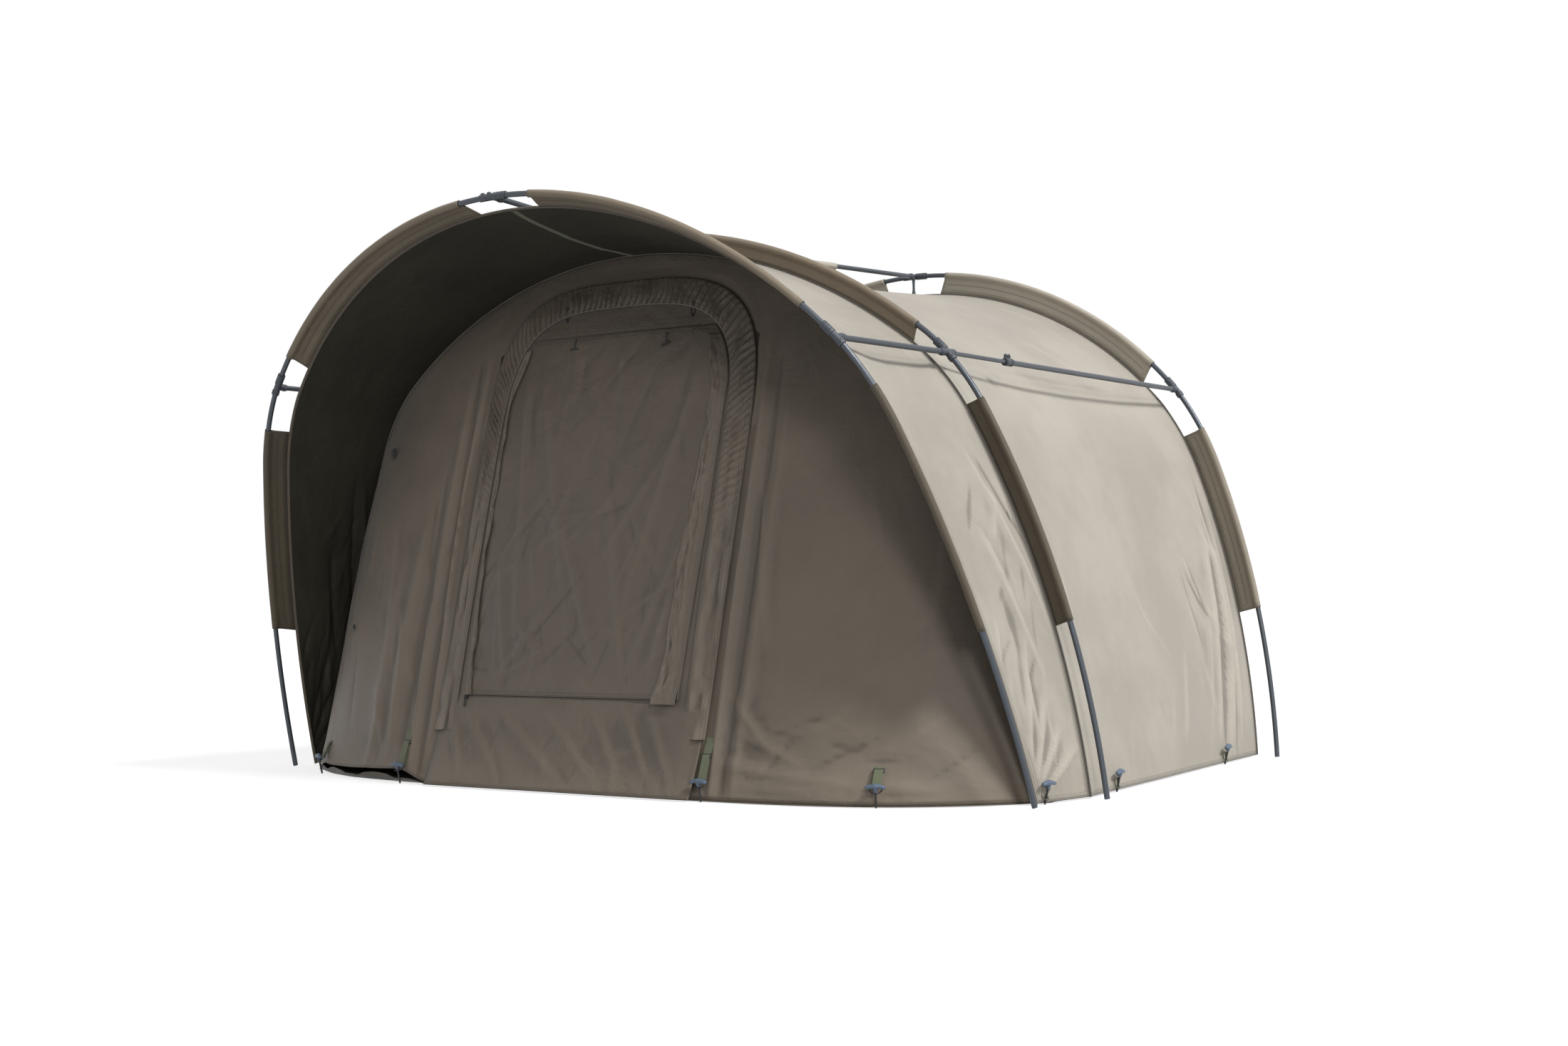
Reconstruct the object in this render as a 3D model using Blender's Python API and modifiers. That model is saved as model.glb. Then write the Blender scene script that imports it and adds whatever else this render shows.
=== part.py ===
"""Bivvy tent: three pole arches joined by ridge and side bars, with a fabric shelter hung inside them.

The origin is on the ground, midway between the two feet of the middle arch. The doorway faces -Y, +X is
the right-hand side as seen from the front, and +Z is up. Lengths are in metres.
"""

from collections import namedtuple
from math import atan2, cos, pi, radians, sin, sqrt, tan

import bmesh
import bpy
import numpy as np
from mathutils import Matrix, Vector
from mathutils.bvhtree import BVHTree

# Arches, each drawn in its own leaning plane: heights run up that plane. A web is the strip of cloth from
# the pole to the seam. It runs straight in towards the tent, but the front one is turned back along Y,
# until it falls from under the ridge bar by an angle
FRONT_FOOT_HALF_WIDTH = 1.40
FRONT_FOOT_Y = -0.29
FRONT_LEAN = radians(-17)
FRONT_CROWN_HEIGHT = 1.755
FRONT_SHOULDER_HALF_WIDTH = 1.14
FRONT_SHOULDER_HEIGHT = 1.16
FRONT_LEG_BOW = 0.041
FRONT_JOINT_PLACE = 1.190
FRONT_WEB_DEPTH = 0.070
FRONT_WEB_FALL = radians(16.3)
MIDDLE_FOOT_HALF_WIDTH = 1.46
MIDDLE_LEAN = radians(-7)
MIDDLE_CROWN_HEIGHT = 1.645
MIDDLE_SHOULDER_HALF_WIDTH = 1.11
MIDDLE_SHOULDER_HEIGHT = 1.20
MIDDLE_LEG_BOW = 0.069
MIDDLE_JOINT_PLACE = 1.180
MIDDLE_WEB_DEPTH = 0.050
REAR_FOOT_HALF_WIDTH = 1.34
REAR_FOOT_Y = 1.44
REAR_LEAN = radians(-1)
REAR_CROWN_HEIGHT = 1.685
REAR_SHOULDER_HALF_WIDTH = 1.095
REAR_SHOULDER_HEIGHT = 1.11
REAR_LEG_BOW = 0.053
REAR_JOINT_PLACE = 1.154
REAR_WEB_DEPTH = 0.070
ELBOW_BLEND = 0.13
POLE_RADIUS = 0.008
SEAT_GAP = 0.0004
POLE_END_GAP = 0.0008

# Bare stretches of an arch pole, from its crown, from its shoulder joint and from its foot
CROWN_CUT = 0.13
UPPER_SLEEVE_GAP = 0.125
LOWER_SLEEVE_GAP = 0.160
LOWER_SLEEVE_RISE = 0.49

# Shoulder joints and crown hubs
JOINT_RADIUS = 0.0118
JOINT_NECK_RADIUS = 0.0100
COLLAR_LENGTH = 0.050
CLIP_LENGTH = 0.028
HUB_HALF_LENGTH = 0.048
SOCKET_RADIUS = 0.0115
SOCKET_REACH = 0.036
HUB_BUTTON_RADIUS = 0.006
HUB_BUTTON_RISE = 0.005
HUB_BUTTON_PITCH = 0.024
HANGER_RADIUS = 0.007

# Ridge bars, side bars and the telescopic tension bars
BAR_RADIUS = 0.0080
INNER_BAR_RADIUS = 0.0062
OUTER_BORE_RADIUS = 0.0069
INNER_BAR_INSERT = 0.16
CLAMP_PLACE = 0.342
CLAMP_LENGTH = 0.044
CLAMP_RADIUS = 0.0115
CLAMP_LIP = 0.008
CLAMP_CLEARANCE = 0.0005
LUG_RADIUS = 0.0080
LUG_THICKNESS = 0.0045
LUG_HOLE_RADIUS = 0.0028
LUG_PITCH = 0.020

# Fabric shell
CLOTH = 0.002
BINDING_WIDTH = 0.006
BINDING_DEPTH = 0.008
SEAM_GAP = 0.0009
SLEEVE_CLEARANCE = 0.0018
HEM_HEIGHT = 0.0050
HOOD_SAG = 0.018
HOOD_FOLD = 0.006
HOOD_FOLD_COUNT = 3
MAIN_SAG = 0.030
MAIN_FOLD = 0.007
MAIN_FOLD_COUNT = 4
FOLD_START_SHARE = 0.3
WALL_FOLD = 0.006
WALL_FOLD_COUNT = 3
FRONT_BULGE = 0.570
BACK_BULGE = 0.110
CORNER_FLARE_SHARE = 0.70
BULGE_POWER = 5
RIDGE_SLEEVE_START_SHARE = 0.125
RIDGE_SLEEVE_END_SHARE = 0.68

# Doorway, door, storm flap and window
DOORWAY_HALF_WIDTH = 0.470
DOORWAY_SPRING_HEIGHT = 1.02
DOORWAY_HEADER = 0.118
DOORWAY_POWER = 3.4
DOOR_LAP = 0.030
DOOR_GAP = 0.0012
DOOR_BILLOW = 0.016
APRON_FLARE = 0.030
APRON_HEIGHT = 0.24
FLAP_WIDTH = 0.080
FLAP_OVERHANG = 0.012
FLAP_FOLD = 0.006
FLAP_RISE = 0.16
WINDOW_TOP_HALF_WIDTH = 0.342
WINDOW_BOTTOM_HALF_WIDTH = 0.405
WINDOW_BOTTOM_HEIGHT = 0.270
WINDOW_HEADER = 0.115
WINDOW_LAP = 0.030
WINDOW_FOLD = 0.004

# Groundsheet
SHEET_THICKNESS = 0.004
SHEET_MARGIN = 0.005

# Straps, rings, pegs and the zip slider
STRAP_WIDTH = 0.025
INNER_STRAP_TOP = 0.170
OUTER_STRAP_TOP = 0.105
STRAP_BOTTOM = 0.050
INNER_STRAP_LEFT_X = 0.620
INNER_STRAP_RIGHT_X = 0.528
OUTER_STRAP_LEFT_X = 1.080
OUTER_STRAP_RIGHT_X = 1.025
STRAP_THICKNESS = 0.0016
STRAP_PULL = 0.019
RING_WIRE_RADIUS = 0.0015
RING_LOOP_CLEARANCE = 0.0006
RING_HALF_WIDTH = 0.0165
RING_DEPTH = 0.024
RING_TILT = radians(50)
PEG_RADIUS = 0.0030
PEG_TILT = radians(12)
HEM_PEG_TILT = radians(20)
PEG_HEAD_LENGTH = 0.054
PEG_HEAD_WIDTH = 0.015
PEG_HEAD_HEIGHT = 0.014
PEG_HEAD_ROUND = 0.004
PEG_TOP = 0.058
PEG_GAP = 0.0005
HEM_PEG_PLACE_SHARES = {"front": 0.11, "middle": 0.125, "rear": 0.77}
SLIDER_LENGTH = 0.014
SLIDER_HEIGHT = 0.011
SLIDER_DEPTH = 0.006
PULLER_LENGTH = 0.028
PULLER_WIDTH = 0.008
PULLER_THICKNESS = 0.002
SLIDER_GAP = 0.0004

# Mesh counts, and how near two points are one point
MERGE_DISTANCE = 0.00001
UPPER_STATIONS = 8
LOWER_STATIONS = 5
HOOD_STEPS = 6
MAIN_STEPS = 8
BACK_ROWS = 5
PANEL_STEPS = 6
DOOR_COLUMNS = 12
DOOR_ROWS = 14
WINDOW_COLUMNS = 10
WINDOW_ROWS = 12
FLAP_STEPS = 30
RIDGE_SLEEVE_STEPS = 4
DENSE = 240

def front_web_turn():
    """The turn of the front web, from the slope of the ridge bar and the web's fall from it."""
    run = MIDDLE_CROWN_HEIGHT * sin(MIDDLE_LEAN) - FRONT_FOOT_Y - FRONT_CROWN_HEIGHT * sin(FRONT_LEAN)
    drop = FRONT_CROWN_HEIGHT * cos(FRONT_LEAN) - MIDDLE_CROWN_HEIGHT * cos(MIDDLE_LEAN)
    fall = atan2(drop, run) + FRONT_WEB_FALL
    return atan2(cos(fall - FRONT_LEAN), sin(fall))


Arch = namedtuple(
    "Arch",
    "key foot_half_width foot_y lean crown shoulder_x shoulder_z bow joint web_depth web_turn",
)
ARCHES = {
    "front": Arch(
        "front",
        FRONT_FOOT_HALF_WIDTH,
        FRONT_FOOT_Y,
        FRONT_LEAN,
        FRONT_CROWN_HEIGHT,
        FRONT_SHOULDER_HALF_WIDTH,
        FRONT_SHOULDER_HEIGHT,
        FRONT_LEG_BOW,
        FRONT_JOINT_PLACE,
        FRONT_WEB_DEPTH,
        front_web_turn(),
    ),
    "middle": Arch(
        "middle",
        MIDDLE_FOOT_HALF_WIDTH,
        0,
        MIDDLE_LEAN,
        MIDDLE_CROWN_HEIGHT,
        MIDDLE_SHOULDER_HALF_WIDTH,
        MIDDLE_SHOULDER_HEIGHT,
        MIDDLE_LEG_BOW,
        MIDDLE_JOINT_PLACE,
        MIDDLE_WEB_DEPTH,
        0,
    ),
    "rear": Arch(
        "rear",
        REAR_FOOT_HALF_WIDTH,
        REAR_FOOT_Y,
        REAR_LEAN,
        REAR_CROWN_HEIGHT,
        REAR_SHOULDER_HALF_WIDTH,
        REAR_SHOULDER_HEIGHT,
        REAR_LEG_BOW,
        REAR_JOINT_PLACE,
        REAR_WEB_DEPTH,
        0,
    ),
}
SIDES = {"left": -1, "right": 1}


def clear_scene():
    for obj in list(bpy.data.objects):
        bpy.data.objects.remove(obj)


def make_collections():
    parts = bpy.data.collections.new("bivvy_tent")
    cutters = bpy.data.collections.new("cutters")
    for collection in (parts, cutters):
        bpy.context.scene.collection.children.link(collection)
    cutters.hide_render = True
    return parts, cutters


def make_material(name, colour, roughness, metallic=0.0):
    material = bpy.data.materials.new(name)
    material.use_nodes = True
    shader = material.node_tree.nodes["Principled BSDF"]
    shader.inputs["Base Color"].default_value = (*colour, 1)
    shader.inputs["Roughness"].default_value = roughness
    shader.inputs["Metallic"].default_value = metallic
    return material


clear_scene()
PARTS, CUTTERS = make_collections()
MATERIALS = {
    "pole": make_material("gunmetal_pole", (0.105, 0.120, 0.145), 0.35, 0.8),
    "fitting": make_material("moulded_fitting", (0.075, 0.090, 0.115), 0.45, 0.2),
    "clamp": make_material("clamp_plastic", (0.040, 0.045, 0.055), 0.45, 0.1),
    "shell": make_material("shell_cloth", (0.42, 0.38, 0.31), 0.75),
    "front": make_material("front_cloth", (0.155, 0.135, 0.105), 0.8),
    "sleeve": make_material("sleeve_cloth", (0.20, 0.165, 0.12), 0.8),
    "ground": make_material("groundsheet_cloth", (0.055, 0.045, 0.035), 0.7),
    "webbing": make_material("webbing", (0.13, 0.15, 0.09), 0.85),
    "ring": make_material("ring_metal", (0.09, 0.09, 0.085), 0.35, 0.9),
    "peg": make_material("peg_plastic", (0.17, 0.24, 0.36), 0.4),
    "zip": make_material("zip_metal", (0.06, 0.055, 0.05), 0.4, 0.6),
}


# Arch geometry
def bezier(start, corner, end, count):
    share = np.linspace(0, 1, count)[:, None]
    return (1 - share) ** 2 * start + 2 * share * (1 - share) * corner + share**2 * end


def lengths_of(points):
    steps = np.linalg.norm(np.diff(points, axis=0), axis=1)
    return np.concatenate([[0], np.cumsum(steps)])


def at_length(points, lengths, place):
    return np.array([np.interp(place, lengths, points[:, i]) for i in range(points.shape[1])])


class ArchLine:
    """Half of one arch pole in its own plane, from the crown to the foot, with its outward normals."""

    def __init__(self, arch):
        self.arch = arch
        drop = arch.crown - arch.shoulder_z
        radius = (arch.shoulder_x**2 + drop**2) / (2 * drop)
        sweep = atan2(arch.shoulder_x, radius - drop)
        turn = np.linspace(0, sweep, DENSE)
        roof = np.stack([radius * np.sin(turn), arch.crown - radius * (1 - np.cos(turn))], 1)
        shoulder = roof[-1]
        foot = np.array([arch.foot_half_width, 0])
        along = (foot - shoulder) / np.linalg.norm(foot - shoulder)
        outward = np.array([-along[1], along[0]])
        share = np.linspace(0, 1, DENSE)[:, None]
        leg = shoulder + (foot - shoulder) * share + outward * 4 * arch.bow * share * (1 - share)
        roof_lengths = lengths_of(roof)
        leg_lengths = lengths_of(leg)
        blend_start = roof_lengths[-1] - ELBOW_BLEND
        start = at_length(roof, roof_lengths, blend_start)
        end = at_length(leg, leg_lengths, ELBOW_BLEND)
        bend = bezier(start, shoulder, end, DENSE)
        kept_roof = roof[roof_lengths < blend_start]
        kept_leg = leg[leg_lengths > ELBOW_BLEND]
        rough = np.concatenate([kept_roof, bend, kept_leg])
        rough_lengths = lengths_of(rough)
        self.length = rough_lengths[-1]
        self.joint = arch.joint
        self.places = np.linspace(0, self.length, 4 * DENSE)
        self.points = np.stack([np.interp(self.places, rough_lengths, rough[:, i]) for i in (0, 1)], 1)
        tangent = np.gradient(self.points, self.places, axis=0)
        tangent[0] = (1, 0)
        self.tangents = tangent / np.linalg.norm(tangent, axis=1)[:, None]
        self.outwards = np.stack([-self.tangents[:, 1], self.tangents[:, 0]], 1)

    def plane_point(self, place, inset=0.0):
        point = at_length(self.points, self.places, place)
        outward = at_length(self.outwards, self.places, place)
        return point - outward / np.linalg.norm(outward) * inset

    def world(self, side, flat, back=0.0):
        lean = self.arch.lean
        y = self.arch.foot_y + flat[1] * sin(lean) + back * cos(lean)
        return Vector((side * flat[0], y, flat[1] * cos(lean) - back * sin(lean)))

    def at(self, side, place, inset=0.0, back=0.0):
        return self.world(side, self.plane_point(place, inset), back)

    def tangent(self, side, place):
        flat = at_length(self.tangents, self.places, place)
        lean = self.arch.lean
        return Vector((side * flat[0], flat[1] * sin(lean), flat[1] * cos(lean))).normalized()

    def outward(self, side, place):
        flat = at_length(self.outwards, self.places, place)
        lean = self.arch.lean
        return Vector((side * flat[0], flat[1] * sin(lean), flat[1] * cos(lean))).normalized()

    def place_at_height(self, height, inset=0.0):
        heights = np.array([(p - o * inset)[1] for p, o in zip(self.points, self.outwards)])
        heights = heights * cos(self.arch.lean)
        return float(np.interp(-height, -heights, self.places))

    def foot_place(self):
        """Where the square-cut end of the leg has its lowest edge on the ground."""
        steep = self.tangent(1, self.length)
        return self.place_at_height(POLE_RADIUS * sqrt(1 - steep.z**2))

    def stations(self):
        """Places from the crown to the hem that every seam, sleeve and panel edge shares."""
        low_end = self.length - LOWER_SLEEVE_RISE
        hem = self.place_at_height(HEM_HEIGHT, self.arch.web_depth * cos(self.arch.web_turn))
        upper = list(np.linspace(CROWN_CUT, self.joint - UPPER_SLEEVE_GAP, UPPER_STATIONS))
        lower = list(np.linspace(self.joint + LOWER_SLEEVE_GAP, low_end, LOWER_STATIONS))
        leg = list(np.linspace(low_end, hem, 3))[1:]
        return [0.0] + upper + [self.joint] + lower + leg


LINES = {key: ArchLine(arch) for key, arch in ARCHES.items()}
UPPER_RUN = (1, UPPER_STATIONS)
LOWER_RUN = (UPPER_STATIONS + 2, UPPER_STATIONS + LOWER_STATIONS + 1)


def full_stations(line):
    half = line.stations()
    left = [(-1, place) for place in reversed(half[1:])]
    return left + [(1, place) for place in half]


# Mesh helpers
def link(obj, material):
    PARTS.objects.link(obj)
    obj.data.materials.append(MATERIALS[material])
    return obj


def smooth(obj):
    obj.data.shade_smooth()
    obj.data.set_sharp_from_angle(angle=radians(40))
    return obj


def set_origin(obj, point):
    """Moves the object's origin to a point, with its shape left where it is."""
    obj.data.transform(Matrix.Translation(-point))
    obj.location = obj.location + point
    return obj


def mesh_object(name, bm):
    mesh = bpy.data.meshes.new(name)
    bm.to_mesh(mesh)
    bm.free()
    return bpy.data.objects.new(name, mesh)


def tube(name, points, radius, material, radii=None, cyclic=False, resolution=2):
    """A round bar along the points; radii are shares of the radius at each point."""
    curve = bpy.data.curves.new(name, "CURVE")
    curve.dimensions = "3D"
    curve.bevel_depth = radius
    curve.bevel_resolution = resolution
    curve.use_fill_caps = True
    spline = curve.splines.new("POLY")
    spline.points.add(len(points) - 1)
    for target, point in zip(spline.points, points):
        target.co = (*point, 1)
    if radii:
        for target, share in zip(spline.points, radii):
            target.radius = share
    spline.use_cyclic_u = cyclic
    return link(bpy.data.objects.new(name, curve), material)


def as_mesh(obj, material):
    """The curve object replaced by a welded mesh object of the same name."""
    graph = bpy.context.evaluated_depsgraph_get()
    mesh = bpy.data.meshes.new_from_object(obj.evaluated_get(graph))
    bm = bmesh.new()
    bm.from_mesh(mesh)
    bmesh.ops.remove_doubles(bm, verts=bm.verts, dist=MERGE_DISTANCE)
    bmesh.ops.recalc_face_normals(bm, faces=bm.faces)
    name = obj.name
    bpy.data.objects.remove(obj)
    made = mesh_object(name, bm)
    made.name = name
    return link(made, material)


def face_outward(bm):
    bmesh.ops.recalc_face_normals(bm, faces=bm.faces)
    if bm.calc_volume(signed=True) < 0:
        bmesh.ops.reverse_faces(bm, faces=bm.faces)


def loft(name, rings):
    """One closed body through rings of equally many points, with flat ends."""
    bm = bmesh.new()
    loops = [[bm.verts.new(point) for point in ring] for ring in rings]
    for near, far in zip(loops, loops[1:]):
        for i in range(len(near)):
            bm.faces.new((near[i], near[i - 1], far[i - 1], far[i]))
    bm.faces.new(loops[0])
    bm.faces.new(reversed(loops[-1]))
    face_outward(bm)
    return mesh_object(name, bm)


def sheet(name, rows, material, skip=None):
    """Cloth through a grid of points, given its thickness by Solidify; skip leaves cells open."""
    bm = bmesh.new()
    grid = [[bm.verts.new(point) for point in row] for row in rows]
    for i in range(len(grid) - 1):
        for j in range(len(grid[0]) - 1):
            if skip and skip(i, j):
                continue
            bm.faces.new((grid[i][j], grid[i][j + 1], grid[i + 1][j + 1], grid[i + 1][j]))
    bmesh.ops.remove_doubles(bm, verts=bm.verts, dist=MERGE_DISTANCE)
    loose = [v for v in bm.verts if not v.link_faces]
    bmesh.ops.delete(bm, geom=loose, context="VERTS")
    bmesh.ops.recalc_face_normals(bm, faces=bm.faces)
    obj = link(mesh_object(name, bm), material)
    thickness = obj.modifiers.new("thickness", "SOLIDIFY")
    thickness.thickness = CLOTH
    thickness.offset = 0
    obj.data.shade_smooth()
    return obj


def rod(name, start, end, radius, segments=10):
    """A plain cylinder from start to end, used as a socket, a lug or a cutter."""
    axis = Vector(end) - Vector(start)
    bm = bmesh.new()
    turn = axis.to_track_quat("Z", "Y").to_matrix().to_4x4()
    place = Matrix.Translation((Vector(start) + Vector(end)) / 2) @ turn
    bmesh.ops.create_cone(
        bm,
        cap_ends=True,
        segments=segments,
        radius1=radius,
        radius2=radius,
        depth=axis.length,
        matrix=place,
    )
    return mesh_object(name, bm)


def box(name, size, matrix):
    bm = bmesh.new()
    bmesh.ops.create_cube(bm, size=1, matrix=matrix @ Matrix.Diagonal((*size, 1)))
    return mesh_object(name, bm)


def combine(obj, other, operation):
    CUTTERS.objects.link(other)
    other.display_type = "WIRE"
    other.hide_render = True
    modifier = obj.modifiers.new(other.name, "BOOLEAN")
    modifier.object = other
    modifier.operation = operation
    modifier.solver = "EXACT"


def turned(name, profile, steps, start, direction, material):
    """A closed profile of radius and length pairs turned about the line from start along direction."""
    bm = bmesh.new()
    verts = [bm.verts.new((r, 0, z)) for r, z in profile]
    for i in range(len(verts)):
        bm.edges.new((verts[i], verts[(i + 1) % len(verts)]))
    obj = link(mesh_object(name, bm), material)
    screw = obj.modifiers.new("turn", "SCREW")
    screw.steps = steps
    screw.render_steps = steps
    screw.use_merge_vertices = True
    screw.merge_threshold = MERGE_DISTANCE
    obj.location = start
    obj.rotation_mode = "QUATERNION"
    obj.rotation_quaternion = direction.to_track_quat("Z", "Y")
    return obj


# Frame
def make_poles():
    for key, line in LINES.items():
        for side_name, side in SIDES.items():
            half = line.stations()
            top = HUB_HALF_LENGTH + POLE_END_GAP
            bottom = line.joint - COLLAR_LENGTH - POLE_END_GAP
            places = [top] + half[UPPER_RUN[0] : UPPER_RUN[1] + 1] + [bottom]
            points = [line.at(side, place) for place in places]
            tube(f"{key}_roof_pole_{side_name}", points, POLE_RADIUS, "pole")
            top = line.joint + CLIP_LENGTH + POLE_END_GAP
            bend = list(np.linspace(top, line.joint + LOWER_SLEEVE_GAP, 5))[:-1]
            places = bend + half[LOWER_RUN[0] : -1] + [line.foot_place()]
            points = [line.at(side, place) for place in places]
            tube(f"{key}_leg_{side_name}", points, POLE_RADIUS, "pole")


def stepped(name, line, side, steps):
    """A fitting swept along the pole, with the given place and radius at each step."""
    largest = max(radius for _, radius in steps)
    points = [line.at(side if place >= 0 else -side, abs(place)) for place, _ in steps]
    shares = [radius / largest for _, radius in steps]
    return as_mesh(tube(name, points, largest, "fitting", radii=shares), "fitting")


def bar_ends(a, b, side):
    """The two shoulder joint centres that a side bar runs between."""
    return LINES[a].at(side, LINES[a].joint), LINES[b].at(side, LINES[b].joint)


def bar_line(start, end, near, far):
    """Points at two distances from start, on the way to end."""
    direction = (end - start).normalized()
    return [start + direction * near, start + direction * far]


def add_socket(obj, centre, towards):
    direction = (towards - centre).normalized()
    inner = centre + direction * (POLE_RADIUS / 2)
    socket = rod(f"{obj.name}_socket", inner, centre + direction * SOCKET_REACH, SOCKET_RADIUS)
    combine(obj, socket, "UNION")


def make_shoulder_joints():
    neighbours = {"front": ["middle"], "middle": ["front", "rear"], "rear": ["middle"]}
    lip = (JOINT_RADIUS - JOINT_NECK_RADIUS) / 2
    for key, line in LINES.items():
        for side_name, side in SIDES.items():
            top = line.joint - COLLAR_LENGTH
            bottom = line.joint + CLIP_LENGTH
            steps = [
                (top, JOINT_NECK_RADIUS),
                (top + lip, JOINT_RADIUS),
                (line.joint - COLLAR_LENGTH / 4, JOINT_RADIUS),
                (line.joint - COLLAR_LENGTH / 4 + lip, JOINT_NECK_RADIUS),
                (line.joint + CLIP_LENGTH / 2, JOINT_NECK_RADIUS),
                (line.joint + CLIP_LENGTH / 2 + lip, JOINT_RADIUS),
                (bottom - lip, JOINT_RADIUS),
                (bottom, JOINT_NECK_RADIUS),
            ]
            joint = stepped(f"{key}_shoulder_joint_{side_name}", line, side, steps)
            for other in neighbours[key]:
                start, end = bar_ends(key, other, side)
                add_socket(joint, start, end)
            smooth(joint)


def make_crown_hubs():
    neighbours = {"front": ["middle"], "middle": ["front", "rear"], "rear": ["middle"]}
    lip = (JOINT_RADIUS - JOINT_NECK_RADIUS) / 2
    for key, line in LINES.items():
        steps = [
            (-HUB_HALF_LENGTH, JOINT_NECK_RADIUS),
            (-HUB_HALF_LENGTH / 2, JOINT_NECK_RADIUS),
            (HUB_HALF_LENGTH / 8, JOINT_NECK_RADIUS),
            (HUB_HALF_LENGTH / 8 + lip, JOINT_RADIUS),
            (HUB_HALF_LENGTH - lip, JOINT_RADIUS),
            (HUB_HALF_LENGTH, JOINT_NECK_RADIUS),
        ]
        hub = stepped(f"{key}_crown_hub", line, 1, steps)
        centre = line.at(1, 0)
        for other in neighbours[key]:
            add_socket(hub, centre, LINES[other].at(1, 0))
        if key == "front":
            for step in (1, 2):
                place = -HUB_BUTTON_PITCH * step + HUB_BUTTON_PITCH / 2
                foot = line.at(-1, abs(place))
                rise = line.outward(-1, abs(place)) * (JOINT_NECK_RADIUS + HUB_BUTTON_RISE)
                button = rod(f"hub_button_{step}", foot, foot + rise, HUB_BUTTON_RADIUS)
                combine(hub, button, "UNION")
        if key == "rear":
            reach = line.arch.web_depth - CLOTH / 2 - 2 * SEAT_GAP
            roof = centre - line.outward(1, 0) * reach
            forward = Vector((0, -BINDING_WIDTH / 2 - HANGER_RADIUS - 2 * SEAT_GAP, 0))
            neck = centre - line.outward(1, 0) * (POLE_RADIUS / 2)
            hanger = rod("roof_hanger", neck + forward, roof + forward, HANGER_RADIUS, 12)
            combine(hub, hanger, "UNION")
        smooth(hub)


def make_bars():
    near = SOCKET_REACH + SEAT_GAP
    for name, a, b in (("front_ridge_bar", "front", "middle"), ("rear_ridge_bar", "middle", "rear")):
        start, end = LINES[a].at(1, 0), LINES[b].at(1, 0)
        far = (end - start).length - near
        tube(name, bar_line(start, end, near, far), BAR_RADIUS, "pole")
    for side_name, side in SIDES.items():
        start, end = bar_ends("front", "middle", side)
        far = (end - start).length - near
        tube(f"front_side_bar_{side_name}", bar_line(start, end, near, far), BAR_RADIUS, "pole")
        start, end = bar_ends("middle", "rear", side)
        direction = (end - start).normalized()
        reach = CLAMP_PLACE + INNER_BAR_INSERT
        points = [point - start for point in bar_line(start, end, near, reach)]
        inner = tube(f"tension_bar_inner_{side_name}", points, INNER_BAR_RADIUS, "pole")
        inner.location = start
        length = (end - start).length - near - CLAMP_PLACE
        profile = [
            (OUTER_BORE_RADIUS, 0),
            (OUTER_BORE_RADIUS, length),
            (BAR_RADIUS, length),
            (BAR_RADIUS, 0),
        ]
        mouth = start + direction * CLAMP_PLACE
        outer = turned(f"tension_bar_outer_{side_name}", profile, 12, mouth, direction, "pole")
        smooth(outer)
        make_clamp(side_name, mouth, direction)


def make_clamp(side_name, mouth, direction):
    """A collar round the mouth of the outer bar, with a lip over the inner bar and two eyed lugs on top."""
    bore = BAR_RADIUS + CLAMP_CLEARANCE
    lip_bore = INNER_BAR_RADIUS + CLAMP_CLEARANCE
    back = CLAMP_LENGTH - CLAMP_LIP
    edge = CLAMP_LIP / 4
    profile = [
        (lip_bore, -CLAMP_LIP),
        (lip_bore, -SEAT_GAP),
        (bore, -SEAT_GAP),
        (bore, back),
        (CLAMP_RADIUS - edge, back),
        (CLAMP_RADIUS, back - edge),
        (CLAMP_RADIUS, edge - CLAMP_LIP),
        (CLAMP_RADIUS - edge, -CLAMP_LIP),
    ]
    clamp = turned(f"tension_bar_clamp_{side_name}", profile, 12, mouth, direction, "clamp")
    across = direction.cross(Vector((0, 0, 1))).normalized()
    rise = across.cross(direction) * (bore + LUG_RADIUS + CLAMP_CLEARANCE)
    for step in (0, 1):
        centre = mouth + direction * (step * LUG_PITCH) + rise
        half = across * (LUG_THICKNESS / 2)
        lug = rod(f"clamp_lug_{side_name}_{step}", centre - half, centre + half, LUG_RADIUS, 12)
        combine(clamp, lug, "UNION")
        half = across * LUG_THICKNESS
        hole = rod(f"clamp_eye_{side_name}_{step}", centre - half, centre + half, LUG_HOLE_RADIUS, 8)
        combine(clamp, hole, "DIFFERENCE")


# Fabric
def seam(key, side, place, deeper=0.0, edge=0.0):
    """A point on an arch's seam, or so far inside it and beside it."""
    arch = ARCHES[key]
    point = LINES[key].at(side, place, arch.web_depth * cos(arch.web_turn) + deeper, edge)
    point.y += arch.web_depth * sin(arch.web_turn)
    return point


def tape_edge(key):
    """How far beside an arch's seam the cloth ends, clear of the binding tape along the seam."""
    turn = ARCHES[key].web_turn
    side = BINDING_WIDTH / 2 / abs(cos(turn))
    if turn:
        side = min(side, BINDING_DEPTH / 2 / sin(turn))
    return side + SEAM_GAP + CLOTH / 2 * sin(turn) * abs(cos(turn))


STATIONS = {key: full_stations(line) for key, line in LINES.items()}
COUNT = len(STATIONS["front"])
HALF = COUNT // 2

Bay = namedtuple("Bay", "a b sag fold fold_count steps")
HOOD = Bay("front", "middle", HOOD_SAG, HOOD_FOLD, HOOD_FOLD_COUNT, HOOD_STEPS)
MAIN = Bay("middle", "rear", MAIN_SAG, MAIN_FOLD, MAIN_FOLD_COUNT, MAIN_STEPS)


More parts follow.
